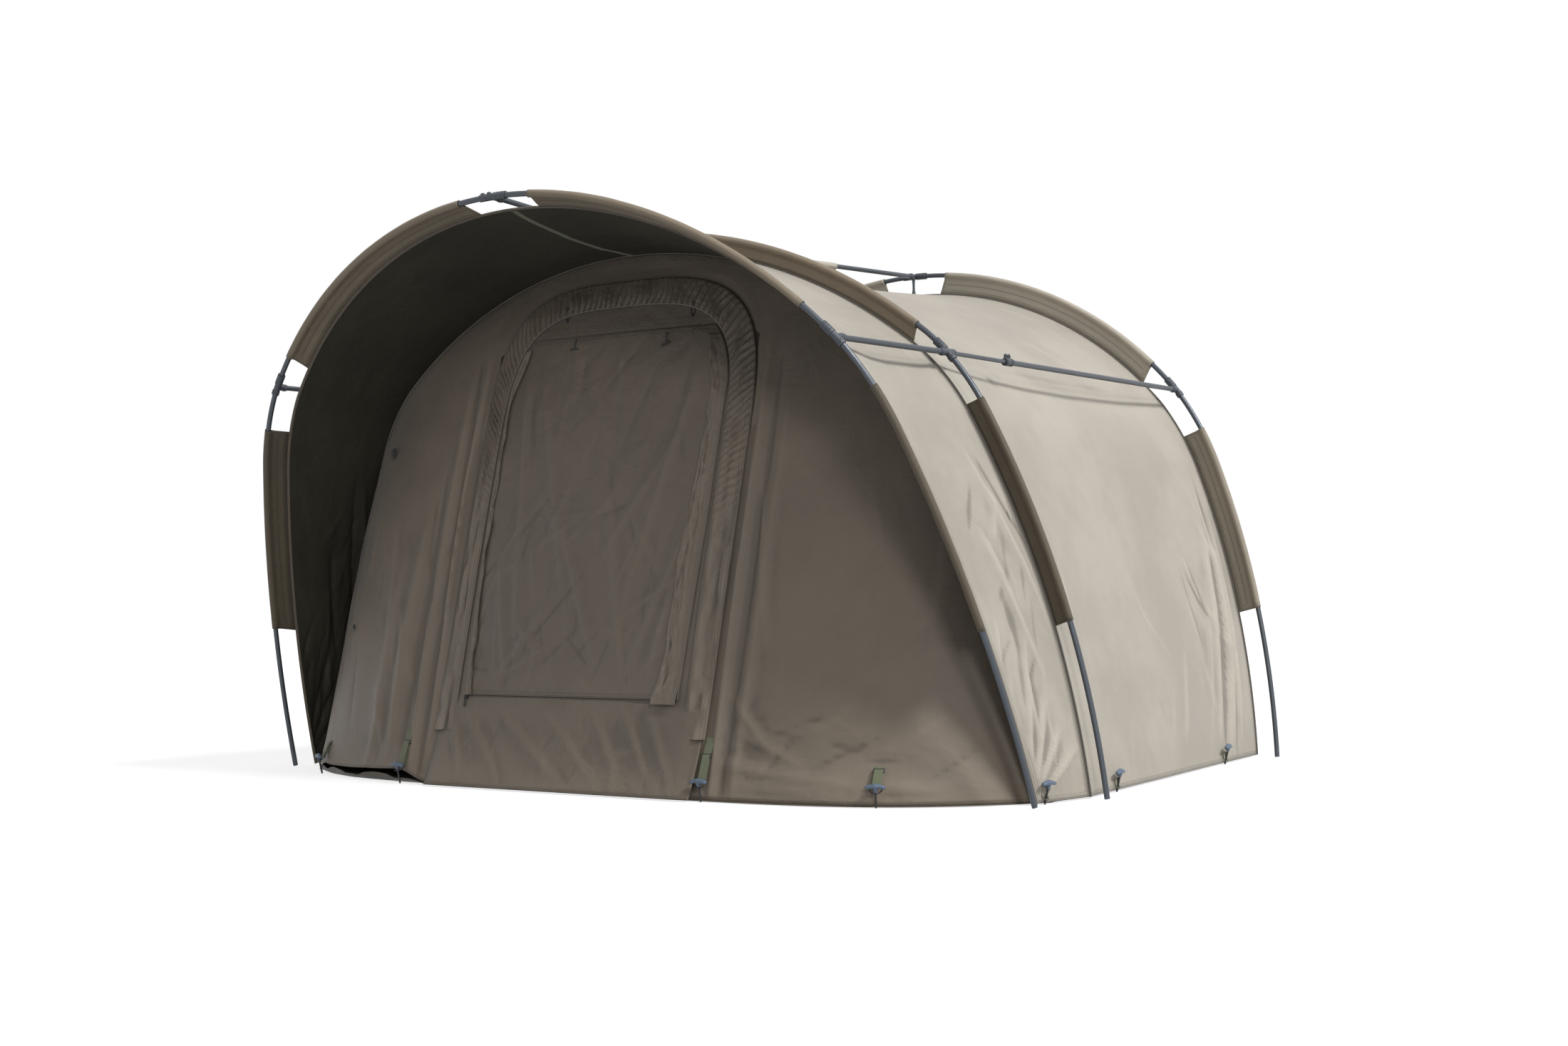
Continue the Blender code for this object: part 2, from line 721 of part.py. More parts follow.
def canopy_point(bay, share, index, deeper=0.0):
    """A point of a bay's cloth, a share of the way between its arches, at one of the seam stations."""
    side_a, place_a = STATIONS[bay.a][index]
    side_b, place_b = STATIONS[bay.b][index]
    start = seam(bay.a, side_a, place_a, deeper, tape_edge(bay.a))
    end = seam(bay.b, side_b, place_b, deeper, -tape_edge(bay.b))
    out_a = LINES[bay.a].outward(side_a, place_a)
    out_b = LINES[bay.b].outward(side_b, place_b)
    level = abs(index - HALF) / HALF
    dip = bay.sag * 4 * share * (1 - share) * (1 - level**6)
    low = max(0.0, (level - FOLD_START_SHARE) / (1 - FOLD_START_SHARE))
    dip += bay.fold * sin(pi * low) * sin(pi * share) * sin(pi * bay.fold_count * share)
    return start.lerp(end, share) - (out_a + out_b).normalized() * dip


def make_canopies():
    for name, bay in (("hood_canopy", HOOD), ("main_canopy", MAIN)):
        rows = [
            [canopy_point(bay, step / bay.steps, index) for index in range(COUNT)]
            for step in range(bay.steps + 1)
        ]
        sheet(name, rows, "shell")


def wrap(inner, wall):
    """Outline of cloth wrapped round a pole from its web: pairs of outward and sideways places."""
    outer = inner + wall
    turn = [radians(angle) for angle in (150, 90, 30, -30, -90, -150)]
    outline = [(outer * cos(angle), outer * sin(angle)) for angle in turn]
    outline += [(inner * cos(angle), inner * sin(angle)) for angle in reversed(turn)]
    return outline + [(-inner, -wall / 2)]


def keyhole(web, inner, wall):
    """The wrap's outline with its web out to a straight end."""
    return [(-web, wall / 2)] + wrap(inner, wall) + [(-web, -wall / 2)]


SLEEVE_BORE = (POLE_RADIUS + SLEEVE_CLEARANCE) / cos(pi / 12)


def seam_ring(line, side, place):
    """Binding corners at a seam station, then the sleeve's outline above it, as one ring of points."""
    centre = line.at(side, place)
    base = seam(line.arch.key, side, place)
    along = line.tangent(side, place)
    outward = centre - base
    outward = (outward - along * outward.dot(along)).normalized()
    back = outward.cross(along) * side
    high = BINDING_DEPTH / 2
    outline = [(high, BINDING_WIDTH / 2), (-high, BINDING_WIDTH / 2)]
    outline += [(-high, -BINDING_WIDTH / 2), (high, -BINDING_WIDTH / 2), (high, -CLOTH / 2)]
    ring = [base + outward * out + back * across for out, across in outline]
    outline = reversed(wrap(SLEEVE_BORE, CLOTH))
    ring += [centre + outward * out + back * across for out, across in outline]
    return ring + [base + outward * high + back * (CLOTH / 2)]


def make_pole_sleeves():
    """Each arch's four sleeves, standing on the binding tape that runs along the seam."""
    for key, line in LINES.items():
        stations = STATIONS[key]
        sleeved = set()
        for first, last in (UPPER_RUN, LOWER_RUN):
            sleeved |= {HALF + i for i in range(first, last)}
            sleeved |= {HALF - 1 - i for i in range(first, last)}
        bm = bmesh.new()
        rings = [[bm.verts.new(point) for point in seam_ring(line, *spot)] for spot in stations]
        for index, (near, far) in enumerate(zip(rings, rings[1:])):
            if index in sleeved:
                loops = (near, far)
            else:
                loops = (near[:5] + near[-1:], far[:5] + far[-1:])
            for i in range(len(loops[0])):
                corners = (loops[0][i], loops[0][i - 1], loops[1][i - 1], loops[1][i])
                bm.faces.new(corners)
            if index - 1 not in sleeved and index in sleeved:
                bm.faces.new(near[4:])
            if index in sleeved and index + 1 not in sleeved:
                bm.faces.new(far[4:])
        bm.faces.new(rings[0][:5] + rings[0][-1:])
        bm.faces.new(rings[-1][:5] + rings[-1][-1:])
        loose = [v for v in bm.verts if not v.link_faces]
        bmesh.ops.delete(bm, geom=loose, context="VERTS")
        face_outward(bm)
        smooth(link(mesh_object(f"{key}_pole_sleeves", bm), "sleeve"))


def make_ridge_sleeve():
    """The cloth over the front part of the rear ridge bar, sewn down to the roof along its middle."""
    start, end = LINES["middle"].at(1, 0), LINES["rear"].at(1, 0)
    direction = (end - start).normalized()
    across = Vector((1, 0, 0))
    up = across.cross(direction).normalized()
    rings = []
    for share in np.linspace(RIDGE_SLEEVE_START_SHARE, RIDGE_SLEEVE_END_SHARE, RIDGE_SLEEVE_STEPS + 1):
        roof = canopy_point(MAIN, share, HALF)
        centre = start + direction * (roof - start).dot(direction)
        web = (centre - roof).length - CLOTH / 2 - 2 * SEAT_GAP
        outline = keyhole(web, SLEEVE_BORE, CLOTH)
        rings.append([centre + up * out + across * side for out, side in outline])
    smooth(link(loft("ridge_sleeve", rings), "sleeve"))


class EndWall:
    """The upright cloth that closes one end: straight up from the hem to the seam under an arch."""

    def __init__(self, key, bulge, flare_share):
        self.bulge = bulge
        deeper = BINDING_DEPTH / 2 + CLOTH / 2 + SEAT_GAP
        elbow = LINES[key].at(1, LINES[key].joint + LOWER_SLEEVE_GAP).z
        self.edge = []
        for index in range(HALF, COUNT):
            level = max(0.0, 1 - seam(key, *STATIONS[key][index]).z / elbow)
            share = flare_share * level**2
            if share:
                point = canopy_point(HOOD, 1 - share, index, deeper)
            else:
                point = seam(key, *STATIONS[key][index], deeper)
            self.edge.append(point)
        self.edge[-1].z = HEM_HEIGHT
        self.xs = [p.x for p in self.edge]
        self.foot = self.edge[-1]

    def hem_y(self, x):
        share = min(1.0, abs(x) / self.foot.x)
        return self.foot.y + (self.bulge - self.foot.y) * (1 - share**BULGE_POWER)

    def top(self, x):
        z = float(np.interp(abs(x), self.xs, [p.z for p in self.edge]))
        y = float(np.interp(abs(x), self.xs, [p.y for p in self.edge]))
        return y, z

    def y_at(self, x, z):
        top_y, top_z = self.top(x)
        share = min(1.0, z / max(top_z, HEM_HEIGHT))
        beside = DOORWAY_HALF_WIDTH + DOOR_LAP + FLAP_OVERHANG
        across = max(0.0, (abs(x) - beside) / (self.foot.x - beside))
        fold = WALL_FOLD * sin(pi * share) * sin(pi * across) * sin(pi * WALL_FOLD_COUNT * across)
        return self.hem_y(x) * (1 - share) + top_y * share + fold

    def point(self, x, z):
        return Vector((x, self.y_at(x, z), z))


FRONT_WALL = EndWall("middle", -FRONT_BULGE, CORNER_FLARE_SHARE)
BACK_WALL = EndWall("rear", REAR_FOOT_Y + BACK_BULGE, 0)
DOORWAY_HEIGHT = FRONT_WALL.top(0)[1] - DOORWAY_HEADER
WINDOW_TOP_HEIGHT = DOORWAY_HEIGHT - WINDOW_HEADER


def doorway_top(x, grow=0.0):
    """Height of the doorway's arched top at x, with the whole outline grown by a margin."""
    half = DOORWAY_HALF_WIDTH + grow
    rise = DOORWAY_HEIGHT + grow - DOORWAY_SPRING_HEIGHT
    share = min(1.0, abs(x) / half)
    return DOORWAY_SPRING_HEIGHT + rise * (1 - share**DOORWAY_POWER) ** (1 / DOORWAY_POWER)


def doorway_outline(grow=0.0):
    """The right half of the doorway's edge as x and height pairs, from the top middle to the hem."""
    half = DOORWAY_HALF_WIDTH + grow
    rise = DOORWAY_HEIGHT + grow - DOORWAY_SPRING_HEIGHT
    turn = np.linspace(0, pi / 2, DENSE)
    x = half * np.sin(turn) ** (2 / DOORWAY_POWER)
    z = DOORWAY_SPRING_HEIGHT + rise * np.cos(turn) ** (2 / DOORWAY_POWER)
    arc = np.stack([x, z], 1)
    side = np.array([[half, DOORWAY_SPRING_HEIGHT], [half, HEM_HEIGHT]])
    return np.concatenate([arc[:-1], side])


def make_front_panel():
    """The wall under the middle arch, open at the doorway."""
    outline = doorway_outline()
    lengths = lengths_of(outline)
    edge = np.array([[p.x, p.z] for p in FRONT_WALL.edge])
    edge_lengths = lengths_of(edge)
    half = []
    for index in range(len(edge)):
        share = edge_lengths[index] / edge_lengths[-1]
        inner = at_length(outline, lengths, share * lengths[-1])
        outer = edge[index]
        row = []
        for step in range(PANEL_STEPS + 1):
            x, z = inner + (outer - inner) * step / PANEL_STEPS
            row.append(FRONT_WALL.point(float(x), float(z)))
        row[-1] = FRONT_WALL.edge[index].copy()
        half.append(row)
    left = [[Vector((-p.x, p.y, p.z)) for p in row] for row in reversed(half[1:])]
    return sheet("front_panel", left + half, "front")


def make_back_panel():
    rows = []
    half = [(p.x, p.y, p.z) for p in BACK_WALL.edge]
    columns = [(-x, y, z) for x, y, z in reversed(half[1:])] + half
    for step in range(BACK_ROWS + 1):
        share = step / BACK_ROWS
        row = []
        for x, top_y, top_z in columns:
            z = HEM_HEIGHT + (top_z - HEM_HEIGHT) * share
            y = BACK_WALL.hem_y(x) * (1 - share) + top_y * share
            row.append(Vector((x, y, z)))
        rows.append(row)
    sheet("back_panel", rows, "shell")


def billow(x, z):
    """How far the door cloth stands off the wall: most at half height, and again at the loose apron."""
    top = doorway_top(x, DOOR_LAP)
    level = z / top
    across = 1 - (abs(x) / (DOORWAY_HALF_WIDTH + DOOR_LAP)) ** 8
    middle = DOOR_BILLOW * sin(pi * min(1, level)) * across
    apron = APRON_FLARE * max(0.0, 1 - z / APRON_HEIGHT) ** 2
    return middle + apron


def door_point(x, z, layer, extra=0.0):
    """A point of a door layer in front of the wall, flat across the window zip; layer 1 is the door panel."""
    low = WINDOW_BOTTOM_HEIGHT + WINDOW_LAP
    rise = (DOORWAY_SPRING_HEIGHT - z) / (DOORWAY_SPRING_HEIGHT - low)
    flat = WINDOW_BOTTOM_HALF_WIDTH * min(1.0, max(0.0, rise))
    beside = max(abs(x), flat)
    wall = FRONT_WALL.point(beside, z)
    return Vector((x, wall.y - billow(beside, z) - layer * (CLOTH + DOOR_GAP) - extra, z))


def hinge_point(height):
    """A point on the wall side of the outer door layer, where that layer turns outwards."""
    return door_point(0, height, 2, -CLOTH / 2)


DOOR_HINGE = hinge_point(DOORWAY_HEIGHT + DOOR_LAP + FLAP_OVERHANG)
WINDOW_HINGE = hinge_point(WINDOW_TOP_HEIGHT)


def grid_levels(breaks, counts):
    """Places from the first break to the last that hit each one, with so many steps between them."""
    levels = [breaks[0]]
    for start, end, count in zip(breaks, breaks[1:], counts):
        levels += list(np.linspace(start, end, count + 1))[1:]
    return levels


def window_half_width(z):
    share = (z - WINDOW_BOTTOM_HEIGHT) / (WINDOW_TOP_HEIGHT - WINDOW_BOTTOM_HEIGHT)
    return WINDOW_BOTTOM_HALF_WIDTH + (WINDOW_TOP_HALF_WIDTH - WINDOW_BOTTOM_HALF_WIDTH) * share


def make_door_panel():
    """The zipped panel over the doorway, with the opening for the window."""
    half = DOORWAY_HALF_WIDTH + DOOR_LAP
    opening = WINDOW_TOP_HALF_WIDTH - WINDOW_LAP
    across = grid_levels([-half, -opening, opening, half], [2, DOOR_COLUMNS - 4, 2])
    low = WINDOW_BOTTOM_HEIGHT + WINDOW_LAP
    high = WINDOW_TOP_HEIGHT - WINDOW_LAP
    rows = []
    levels = grid_levels([HEM_HEIGHT, low, high], [4, DOOR_ROWS - 6])
    for z in levels:
        rows.append([door_point(x, z, 1) for x in across])
    for step in (1, 2):
        row = []
        for x in across:
            top = doorway_top(x, DOOR_LAP)
            z = max(high, DOORWAY_SPRING_HEIGHT) + (top - high) * step / 2
            row.append(door_point(x, z, 1))
        rows.append(row)
    first_row, last_row = 4, 4 + DOOR_ROWS - 6
    first_column, last_column = 2, DOOR_COLUMNS - 2

    def in_window(i, j):
        return first_row <= i < last_row and first_column <= j < last_column

    set_origin(sheet("door_panel", rows, "front", skip=in_window), DOOR_HINGE)


def make_window_cover():
    """The cloth cover over the window opening, held by a seam at its top and a zip along its bottom."""
    rows = []
    for z in np.linspace(WINDOW_BOTTOM_HEIGHT, WINDOW_TOP_HEIGHT, WINDOW_ROWS + 1):
        half = window_half_width(z)
        row = []
        for share in np.linspace(-1, 1, WINDOW_COLUMNS + 1):
            level = (z - WINDOW_BOTTOM_HEIGHT) / (WINDOW_TOP_HEIGHT - WINDOW_BOTTOM_HEIGHT)
            calm = sin(pi * level) * (1 - share**4)
            ripple = WINDOW_FOLD * calm * (1 + sin(3 * pi * share + 2 * pi * level))
            x = share * half
            row.append(door_point(x, z, 2, ripple))
        rows.append(row)
    set_origin(sheet("window_cover", rows, "front"), WINDOW_HINGE)


def make_storm_flap():
    """The gathered flap round the door's zip, as an inverted U in front of the door's edges."""
    outer = doorway_outline(DOOR_LAP + FLAP_OVERHANG)
    inner = doorway_outline(DOOR_LAP + FLAP_OVERHANG - FLAP_WIDTH)
    rows = []
    for side in (-1, 1):
        for line_share in np.linspace(1, 0, FLAP_STEPS // 2 + 1)[:: 1 if side < 0 else -1]:
            if side > 0 and line_share == 0:
                continue
            row = []
            for step in range(4):
                share = step / 3
                place = []
                for outline in (outer, inner):
                    lengths = lengths_of(outline)
                    reach = lengths[-1] - FLAP_RISE
                    place.append(at_length(outline, lengths, line_share * reach))
                x, z = place[0] + (place[1] - place[0]) * share
                gather = FLAP_FOLD * sin(pi * share) * (1 + sin(line_share * FLAP_STEPS * pi / 2))
                row.append(door_point(side * float(x), float(z), 2, gather))
            rows.append(row)
    set_origin(sheet("door_storm_flap", rows, "front"), DOOR_HINGE)


def make_groundsheet():
    front = [(x, FRONT_WALL.hem_y(x) - SHEET_MARGIN) for x in np.linspace(-1, 1, 25) * FRONT_WALL.foot.x]
    rear_foot = BACK_WALL.foot
    back = [(x, BACK_WALL.hem_y(x) + SHEET_MARGIN) for x in np.linspace(1, -1, 13) * rear_foot.x]
    side_x = seam("middle", 1, LINES["middle"].stations()[-1]).x - SHEET_MARGIN / 2
    outline = front + [(side_x, 0)] + back + [(-side_x, 0)]
    curve = bpy.data.curves.new("groundsheet", "CURVE")
    curve.dimensions = "2D"
    curve.fill_mode = "BOTH"
    curve.extrude = SHEET_THICKNESS / 2
    spline = curve.splines.new("POLY")
    spline.points.add(len(outline) - 1)
    for target, (x, y) in zip(spline.points, outline):
        target.co = (x, y, 0, 1)
    spline.use_cyclic_u = True
    obj = link(bpy.data.objects.new("groundsheet", curve), "ground")
    obj.location.z = SHEET_THICKNESS / 2


# Straps, pegs and the zip slider
def surface_finder(obj):
    """A function that gives the foremost surface point of obj at x and height z, with its slope."""
    graph = bpy.context.evaluated_depsgraph_get()
    tree = BVHTree.FromObject(obj, graph)
    far = 10 * FRONT_WALL.bulge

    def find(x, z):
        hit, normal, _, _ = tree.ray_cast(Vector((x, far, z)), Vector((0, 1, 0)))
        return hit, normal

    return find


def peg(name, foot, lean_to, across, tilt=PEG_TILT):
    """A T-headed peg with its shaft's lower end on the ground at foot, leaning towards lean_to."""
    up = (Vector((0, 0, 1)) * cos(tilt) + lean_to * sin(tilt)).normalized()
    across = (across - up * across.dot(up)).normalized()
    forth = up.cross(across)
    lift = PEG_RADIUS * abs(sin(tilt))
    start = Vector((foot.x, foot.y, 0)) + up * (lift / cos(tilt))
    top = start + up * (PEG_TOP / cos(tilt))
    turn = Matrix((across, forth, up)).transposed().to_4x4()
    size = (PEG_HEAD_LENGTH, PEG_HEAD_WIDTH, PEG_HEAD_HEIGHT)
    head = link(box(name, size, Matrix.Translation(top) @ turn), "peg")
    bevel = head.modifiers.new("round", "BEVEL")
    bevel.width = PEG_HEAD_ROUND
    bevel.segments = 2
    bevel.limit_method = "NONE"
    shaft = rod(f"{name}_shaft", start, top, PEG_RADIUS, 8)
    combine(head, shaft, "UNION")
    smooth(set_origin(head, start))


def make_strap(name, x, height, find):
    """Webbing sewn to the wall, the ring at its lower end, and the peg that holds the ring down."""
    top, normal = find(x, height)
    across = Vector((0, 0, 1)).cross(normal).normalized()
    top = top + normal * (STRAP_THICKNESS / 2 + SEAT_GAP)
    bar = find(x, STRAP_BOTTOM)[0] + normal * STRAP_PULL
    down = (bar - top).normalized()
    out = down.cross(across)
    bore = (RING_WIRE_RADIUS + RING_LOOP_CLEARANCE) / cos(pi / 6)
    outline = keyhole((bar - top).length, bore, STRAP_THICKNESS)
    rings = []
    for end in (-1, 1):
        shift = across * (end * STRAP_WIDTH / 2)
        rings.append([bar + down * along + out * side + shift for along, side in outline])
    smooth(link(loft(f"{name}_webbing", rings), "webbing"))
    make_ring_and_peg(name, bar, across)


def make_ring_and_peg(name, bar, across):
    outward = across.cross(Vector((0, 0, 1)))
    hang = Vector((0, 0, -1)) * cos(RING_TILT) + outward * sin(RING_TILT)
    points = [bar - across * RING_HALF_WIDTH, bar + across * RING_HALF_WIDTH]
    for turn in np.linspace(0, pi, 7):
        side = across * (RING_HALF_WIDTH * cos(turn))
        depth = RING_DEPTH - RING_HALF_WIDTH
        points.append(bar + side + hang * (depth + RING_HALF_WIDTH * sin(turn)))
    tube(f"{name}_ring", points, RING_WIRE_RADIUS, "ring", cyclic=True, resolution=1)
    reach = RING_DEPTH - RING_WIRE_RADIUS - PEG_GAP - PEG_RADIUS / cos(PEG_TILT + RING_TILT - pi / 2)
    crossing = bar + hang * reach
    up = Vector((0, 0, 1)) * cos(PEG_TILT) + outward * sin(PEG_TILT)
    foot = crossing - up * (crossing.z / up.z)
    peg(name.replace("strap", "peg"), foot, outward, across)


def make_straps(panel):
    find = surface_finder(panel)
    make_strap("inner_strap_left", -INNER_STRAP_LEFT_X, INNER_STRAP_TOP, find)
    make_strap("inner_strap_right", INNER_STRAP_RIGHT_X, INNER_STRAP_TOP, find)
    make_strap("outer_strap_left", -OUTER_STRAP_LEFT_X, OUTER_STRAP_TOP, find)
    make_strap("outer_strap_right", OUTER_STRAP_RIGHT_X, OUTER_STRAP_TOP, find)


def make_hem_pegs():
    """Pegs close outside the hem of the right-hand side, each leaning away from its cloth."""
    for key, share in HEM_PEG_PLACE_SHARES.items():
        bay = HOOD if key == "front" else MAIN
        hem = canopy_point(bay, share, COUNT - 1)
        along = (canopy_point(bay, 1, COUNT - 1) - canopy_point(bay, 0, COUNT - 1)).normalized()
        outward = along.cross(Vector((0, 0, 1)))
        rise = canopy_point(bay, share, COUNT - 2) - hem
        tilt = HEM_PEG_TILT + atan2(rise.dot(outward), rise.z)
        reach = CLOTH / 2 + PEG_RADIUS + PEG_GAP - HEM_HEIGHT * tan(tilt)
        peg(f"{key}_hem_peg_right", hem + outward * reach, outward, along, tilt)


def make_zip_slider():
    """The slider at the lower left corner of the window zip, with its puller hanging."""
    x = -WINDOW_BOTTOM_HALF_WIDTH + SLIDER_LENGTH / 2
    z = WINDOW_BOTTOM_HEIGHT - SLIDER_HEIGHT / 2 - SLIDER_DEPTH / 4
    lean = door_point(0, z, 1) - door_point(0, z + PULLER_LENGTH, 1)
    centre = door_point(0, z, 1, CLOTH / 2 + SLIDER_GAP + SLIDER_DEPTH / 2)
    centre.x = x
    tilt = Matrix.Rotation(atan2(lean.y, -lean.z), 4, "X")
    size = (SLIDER_LENGTH, SLIDER_DEPTH, SLIDER_HEIGHT)
    slider = link(box("window_zip_slider", size, Matrix.Translation(centre) @ tilt), "zip")
    drop = (PULLER_LENGTH + SLIDER_HEIGHT) / 2 - PULLER_THICKNESS
    shift = centre + tilt.to_3x3() @ Vector((0, -PULLER_THICKNESS / 2, -drop))
    size = (PULLER_WIDTH, PULLER_THICKNESS, PULLER_LENGTH)
    combine(slider, box("zip_puller", size, Matrix.Translation(shift) @ tilt), "UNION")
    set_origin(slider, centre)


def main():
    make_poles()
    make_shoulder_joints()
    make_crown_hubs()
    make_bars()
    make_canopies()
    make_pole_sleeves()
    make_ridge_sleeve()
    panel = make_front_panel()
    make_back_panel()
    make_door_panel()
    make_window_cover()
    make_storm_flap()
    make_groundsheet()
    make_straps(panel)
    make_hem_pegs()
    make_zip_slider()


main()
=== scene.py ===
"""Bivvy tent: its cloth, poles, fittings and pegs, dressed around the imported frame.

Lengths are in metres. The doorway faces -Y, +X is the right-hand side as seen from the front, and +Z is up.
"""

from collections import namedtuple
from math import atan2, cos, hypot, pi, radians, sin, sqrt, tan

import bmesh
import bpy
import numpy as np
from mathutils import Matrix, Vector


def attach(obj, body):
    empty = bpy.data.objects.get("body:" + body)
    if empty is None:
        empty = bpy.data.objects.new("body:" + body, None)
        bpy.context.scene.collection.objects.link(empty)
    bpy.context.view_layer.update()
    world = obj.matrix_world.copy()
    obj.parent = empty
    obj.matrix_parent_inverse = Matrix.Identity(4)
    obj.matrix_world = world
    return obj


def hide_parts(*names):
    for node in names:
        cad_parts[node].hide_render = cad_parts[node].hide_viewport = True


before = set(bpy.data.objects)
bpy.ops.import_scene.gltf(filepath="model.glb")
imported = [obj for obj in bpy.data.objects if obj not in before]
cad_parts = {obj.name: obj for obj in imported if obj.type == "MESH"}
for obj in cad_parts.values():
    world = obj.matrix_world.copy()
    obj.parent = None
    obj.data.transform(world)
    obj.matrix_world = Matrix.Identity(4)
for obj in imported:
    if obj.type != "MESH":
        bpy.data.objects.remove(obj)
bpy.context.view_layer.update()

bl_info = {
    "name": "Bivvy Tent",
    "version": (1, 0, 0),
    "blender": (4, 5, 0),
    "location": "3D View > Sidebar > Tent",
    "description": "Makes the cloth, poles, fittings and pegs of a bivvy tent around its frame",
    "category": "Add Mesh",
}

# Arches, each drawn in its own leaning plane. A web is the strip of cloth from the pole to the seam. It
# runs straight in towards the tent, or is turned back along Y by an angle
Arch = namedtuple("Arch", "foot_half_width foot_y lean crown shoulder_x shoulder_z bow joint web turn")
ARCHES = {
    "front": Arch(1.40, -0.29, radians(-17), 1.755, 1.14, 1.16, 0.041, 1.190, 0.070, radians(66.05)),
    "middle": Arch(1.46, 0.0, radians(-7), 1.645, 1.11, 1.20, 0.069, 1.180, 0.050, 0.0),
    "rear": Arch(1.34, 1.44, radians(-1), 1.685, 1.095, 1.11, 0.053, 1.154, 0.070, 0.0),
}
SIDES = {"left": -1, "right": 1}
ELBOW_BLEND = 0.13
POLE_RADIUS = 0.008
END_GAP = 0.0008
DENSE = 240

# Bare stretches of an arch pole, from its crown, from its shoulder joint and from its foot
CROWN_CUT = 0.13
UPPER_SLEEVE_GAP = 0.125
LOWER_SLEEVE_GAP = 0.160
LOWER_SLEEVE_RISE = 0.49
SLEEVE_SLANT = 0.018

# Joints, hubs, bars and clamps
JOINT_RADIUS = 0.0118
NECK_RADIUS = 0.0100
COLLAR_LENGTH = 0.050
CLIP_LENGTH = 0.028
HUB_HALF_LENGTH = 0.048
SOCKET_REACH = 0.036
HUB_BUTTON_RADIUS = 0.006
HUB_BUTTON_PITCH = 0.024
INNER_BAR_RADIUS = 0.0062
INNER_BAR_INSERT = 0.16
CLAMP_PLACE = 0.342
CLAMP_LENGTH = 0.044
CLAMP_LIP = 0.008
LUG_RADIUS = 0.0080
LUG_PITCH = 0.020

# Cloth
CLOTH = 0.002
BINDING_WIDTH = 0.006
BINDING_DEPTH = 0.008
SEAM_GAP = 0.0009
SEAT_GAP = 0.0004
HEM_HEIGHT = 0.005
HOOD_SAG = 0.018
MAIN_SAG = 0.030
FRONT_BULGE = 0.570
BACK_BULGE = 0.110
CORNER_FLARE_SHARE = 0.70
BULGE_POWER = 5
RIDGE_SLEEVE_SHARES = (0.125, 0.68)

# Doorway, door, storm flap and window
DOORWAY_HALF_WIDTH = 0.470
DOORWAY_SPRING_HEIGHT = 1.02
DOORWAY_HEADER = 0.118
DOORWAY_POWER = 3.4
DOOR_LAP = 0.030
DOOR_GAP = 0.0012
DOOR_BILLOW = 0.016
APRON_FLARE = 0.030
APRON_HEIGHT = 0.24
FLAP_WIDTH = 0.080
FLAP_OVERHANG = 0.012
FLAP_RISE = 0.16
WINDOW_TOP_HALF_WIDTH = 0.342
WINDOW_BOTTOM_HALF_WIDTH = 0.405
WINDOW_BOTTOM_HEIGHT = 0.270
WINDOW_HEADER = 0.115
WINDOW_LAP = 0.030

# Groundsheet, straps, rings and pegs
SHEET_THICKNESS = 0.004
SHEET_MARGIN = 0.005
STRAP_WIDTH = 0.025
STRAP_THICKNESS = 0.0016
STRAP_BOTTOM = 0.050
STRAP_PULL = 0.019
STRAPS = {
    "inner_strap_left": (-0.620, 0.170),
    "inner_strap_right": (0.528, 0.170),
    "outer_strap_left": (-1.080, 0.105),
    "outer_strap_right": (1.025, 0.105),
}
RING_HALF_WIDTH = 0.0165
RING_DEPTH = 0.024
RING_WIRE_RADIUS = 0.0015
RING_TILT = radians(50)
PEG_RADIUS = 0.0030
PEG_TILT = radians(12)
HEM_PEG_TILT = radians(20)
PEG_HEAD_LENGTH = 0.054
PEG_HEAD_WIDTH = 0.015
PEG_HEAD_HEIGHT = 0.014
PEG_TOP = 0.058
PEG_GAP = 0.0005
HEM_PEGS = {"front": ("front", 0.11), "middle": ("main", 0.125), "rear": ("main", 0.77)}
HALF = 16
UP = np.array([0, 0, 1.0])
NEIGHBOURS = {"front": ["middle"], "middle": ["front", "rear"], "rear": ["middle"]}

# Fine detail: the marks that each point carries for the materials, points that outer faces look away
# from, and the sleeves' cloth, room and half seam
MARKS = ("seam", "run", "fold")
INSIDE = (0, 0.5, 0.6)
BEHIND_DOOR = (0, 2, 0.6)
SLEEVE_CLOTH = 0.0007
SLEEVE_BORE = POLE_RADIUS + 0.0026
SLEEVE_HALF_SEAM = 0.0013


def lengths_of(points):
    """Each point's length along a path."""
    steps = np.linalg.norm(np.diff(points, axis=0), axis=1)
    return np.concatenate([[0], np.cumsum(steps)])


def at_length(points, lengths, place):
    """Points of a path at lengths along it."""
    return np.stack([np.interp(place, lengths, points[:, i]) for i in range(points.shape[1])], -1)


def unit(vectors):
    """Vectors brought to length 1."""
    return vectors / np.linalg.norm(vectors, axis=-1, keepdims=True)


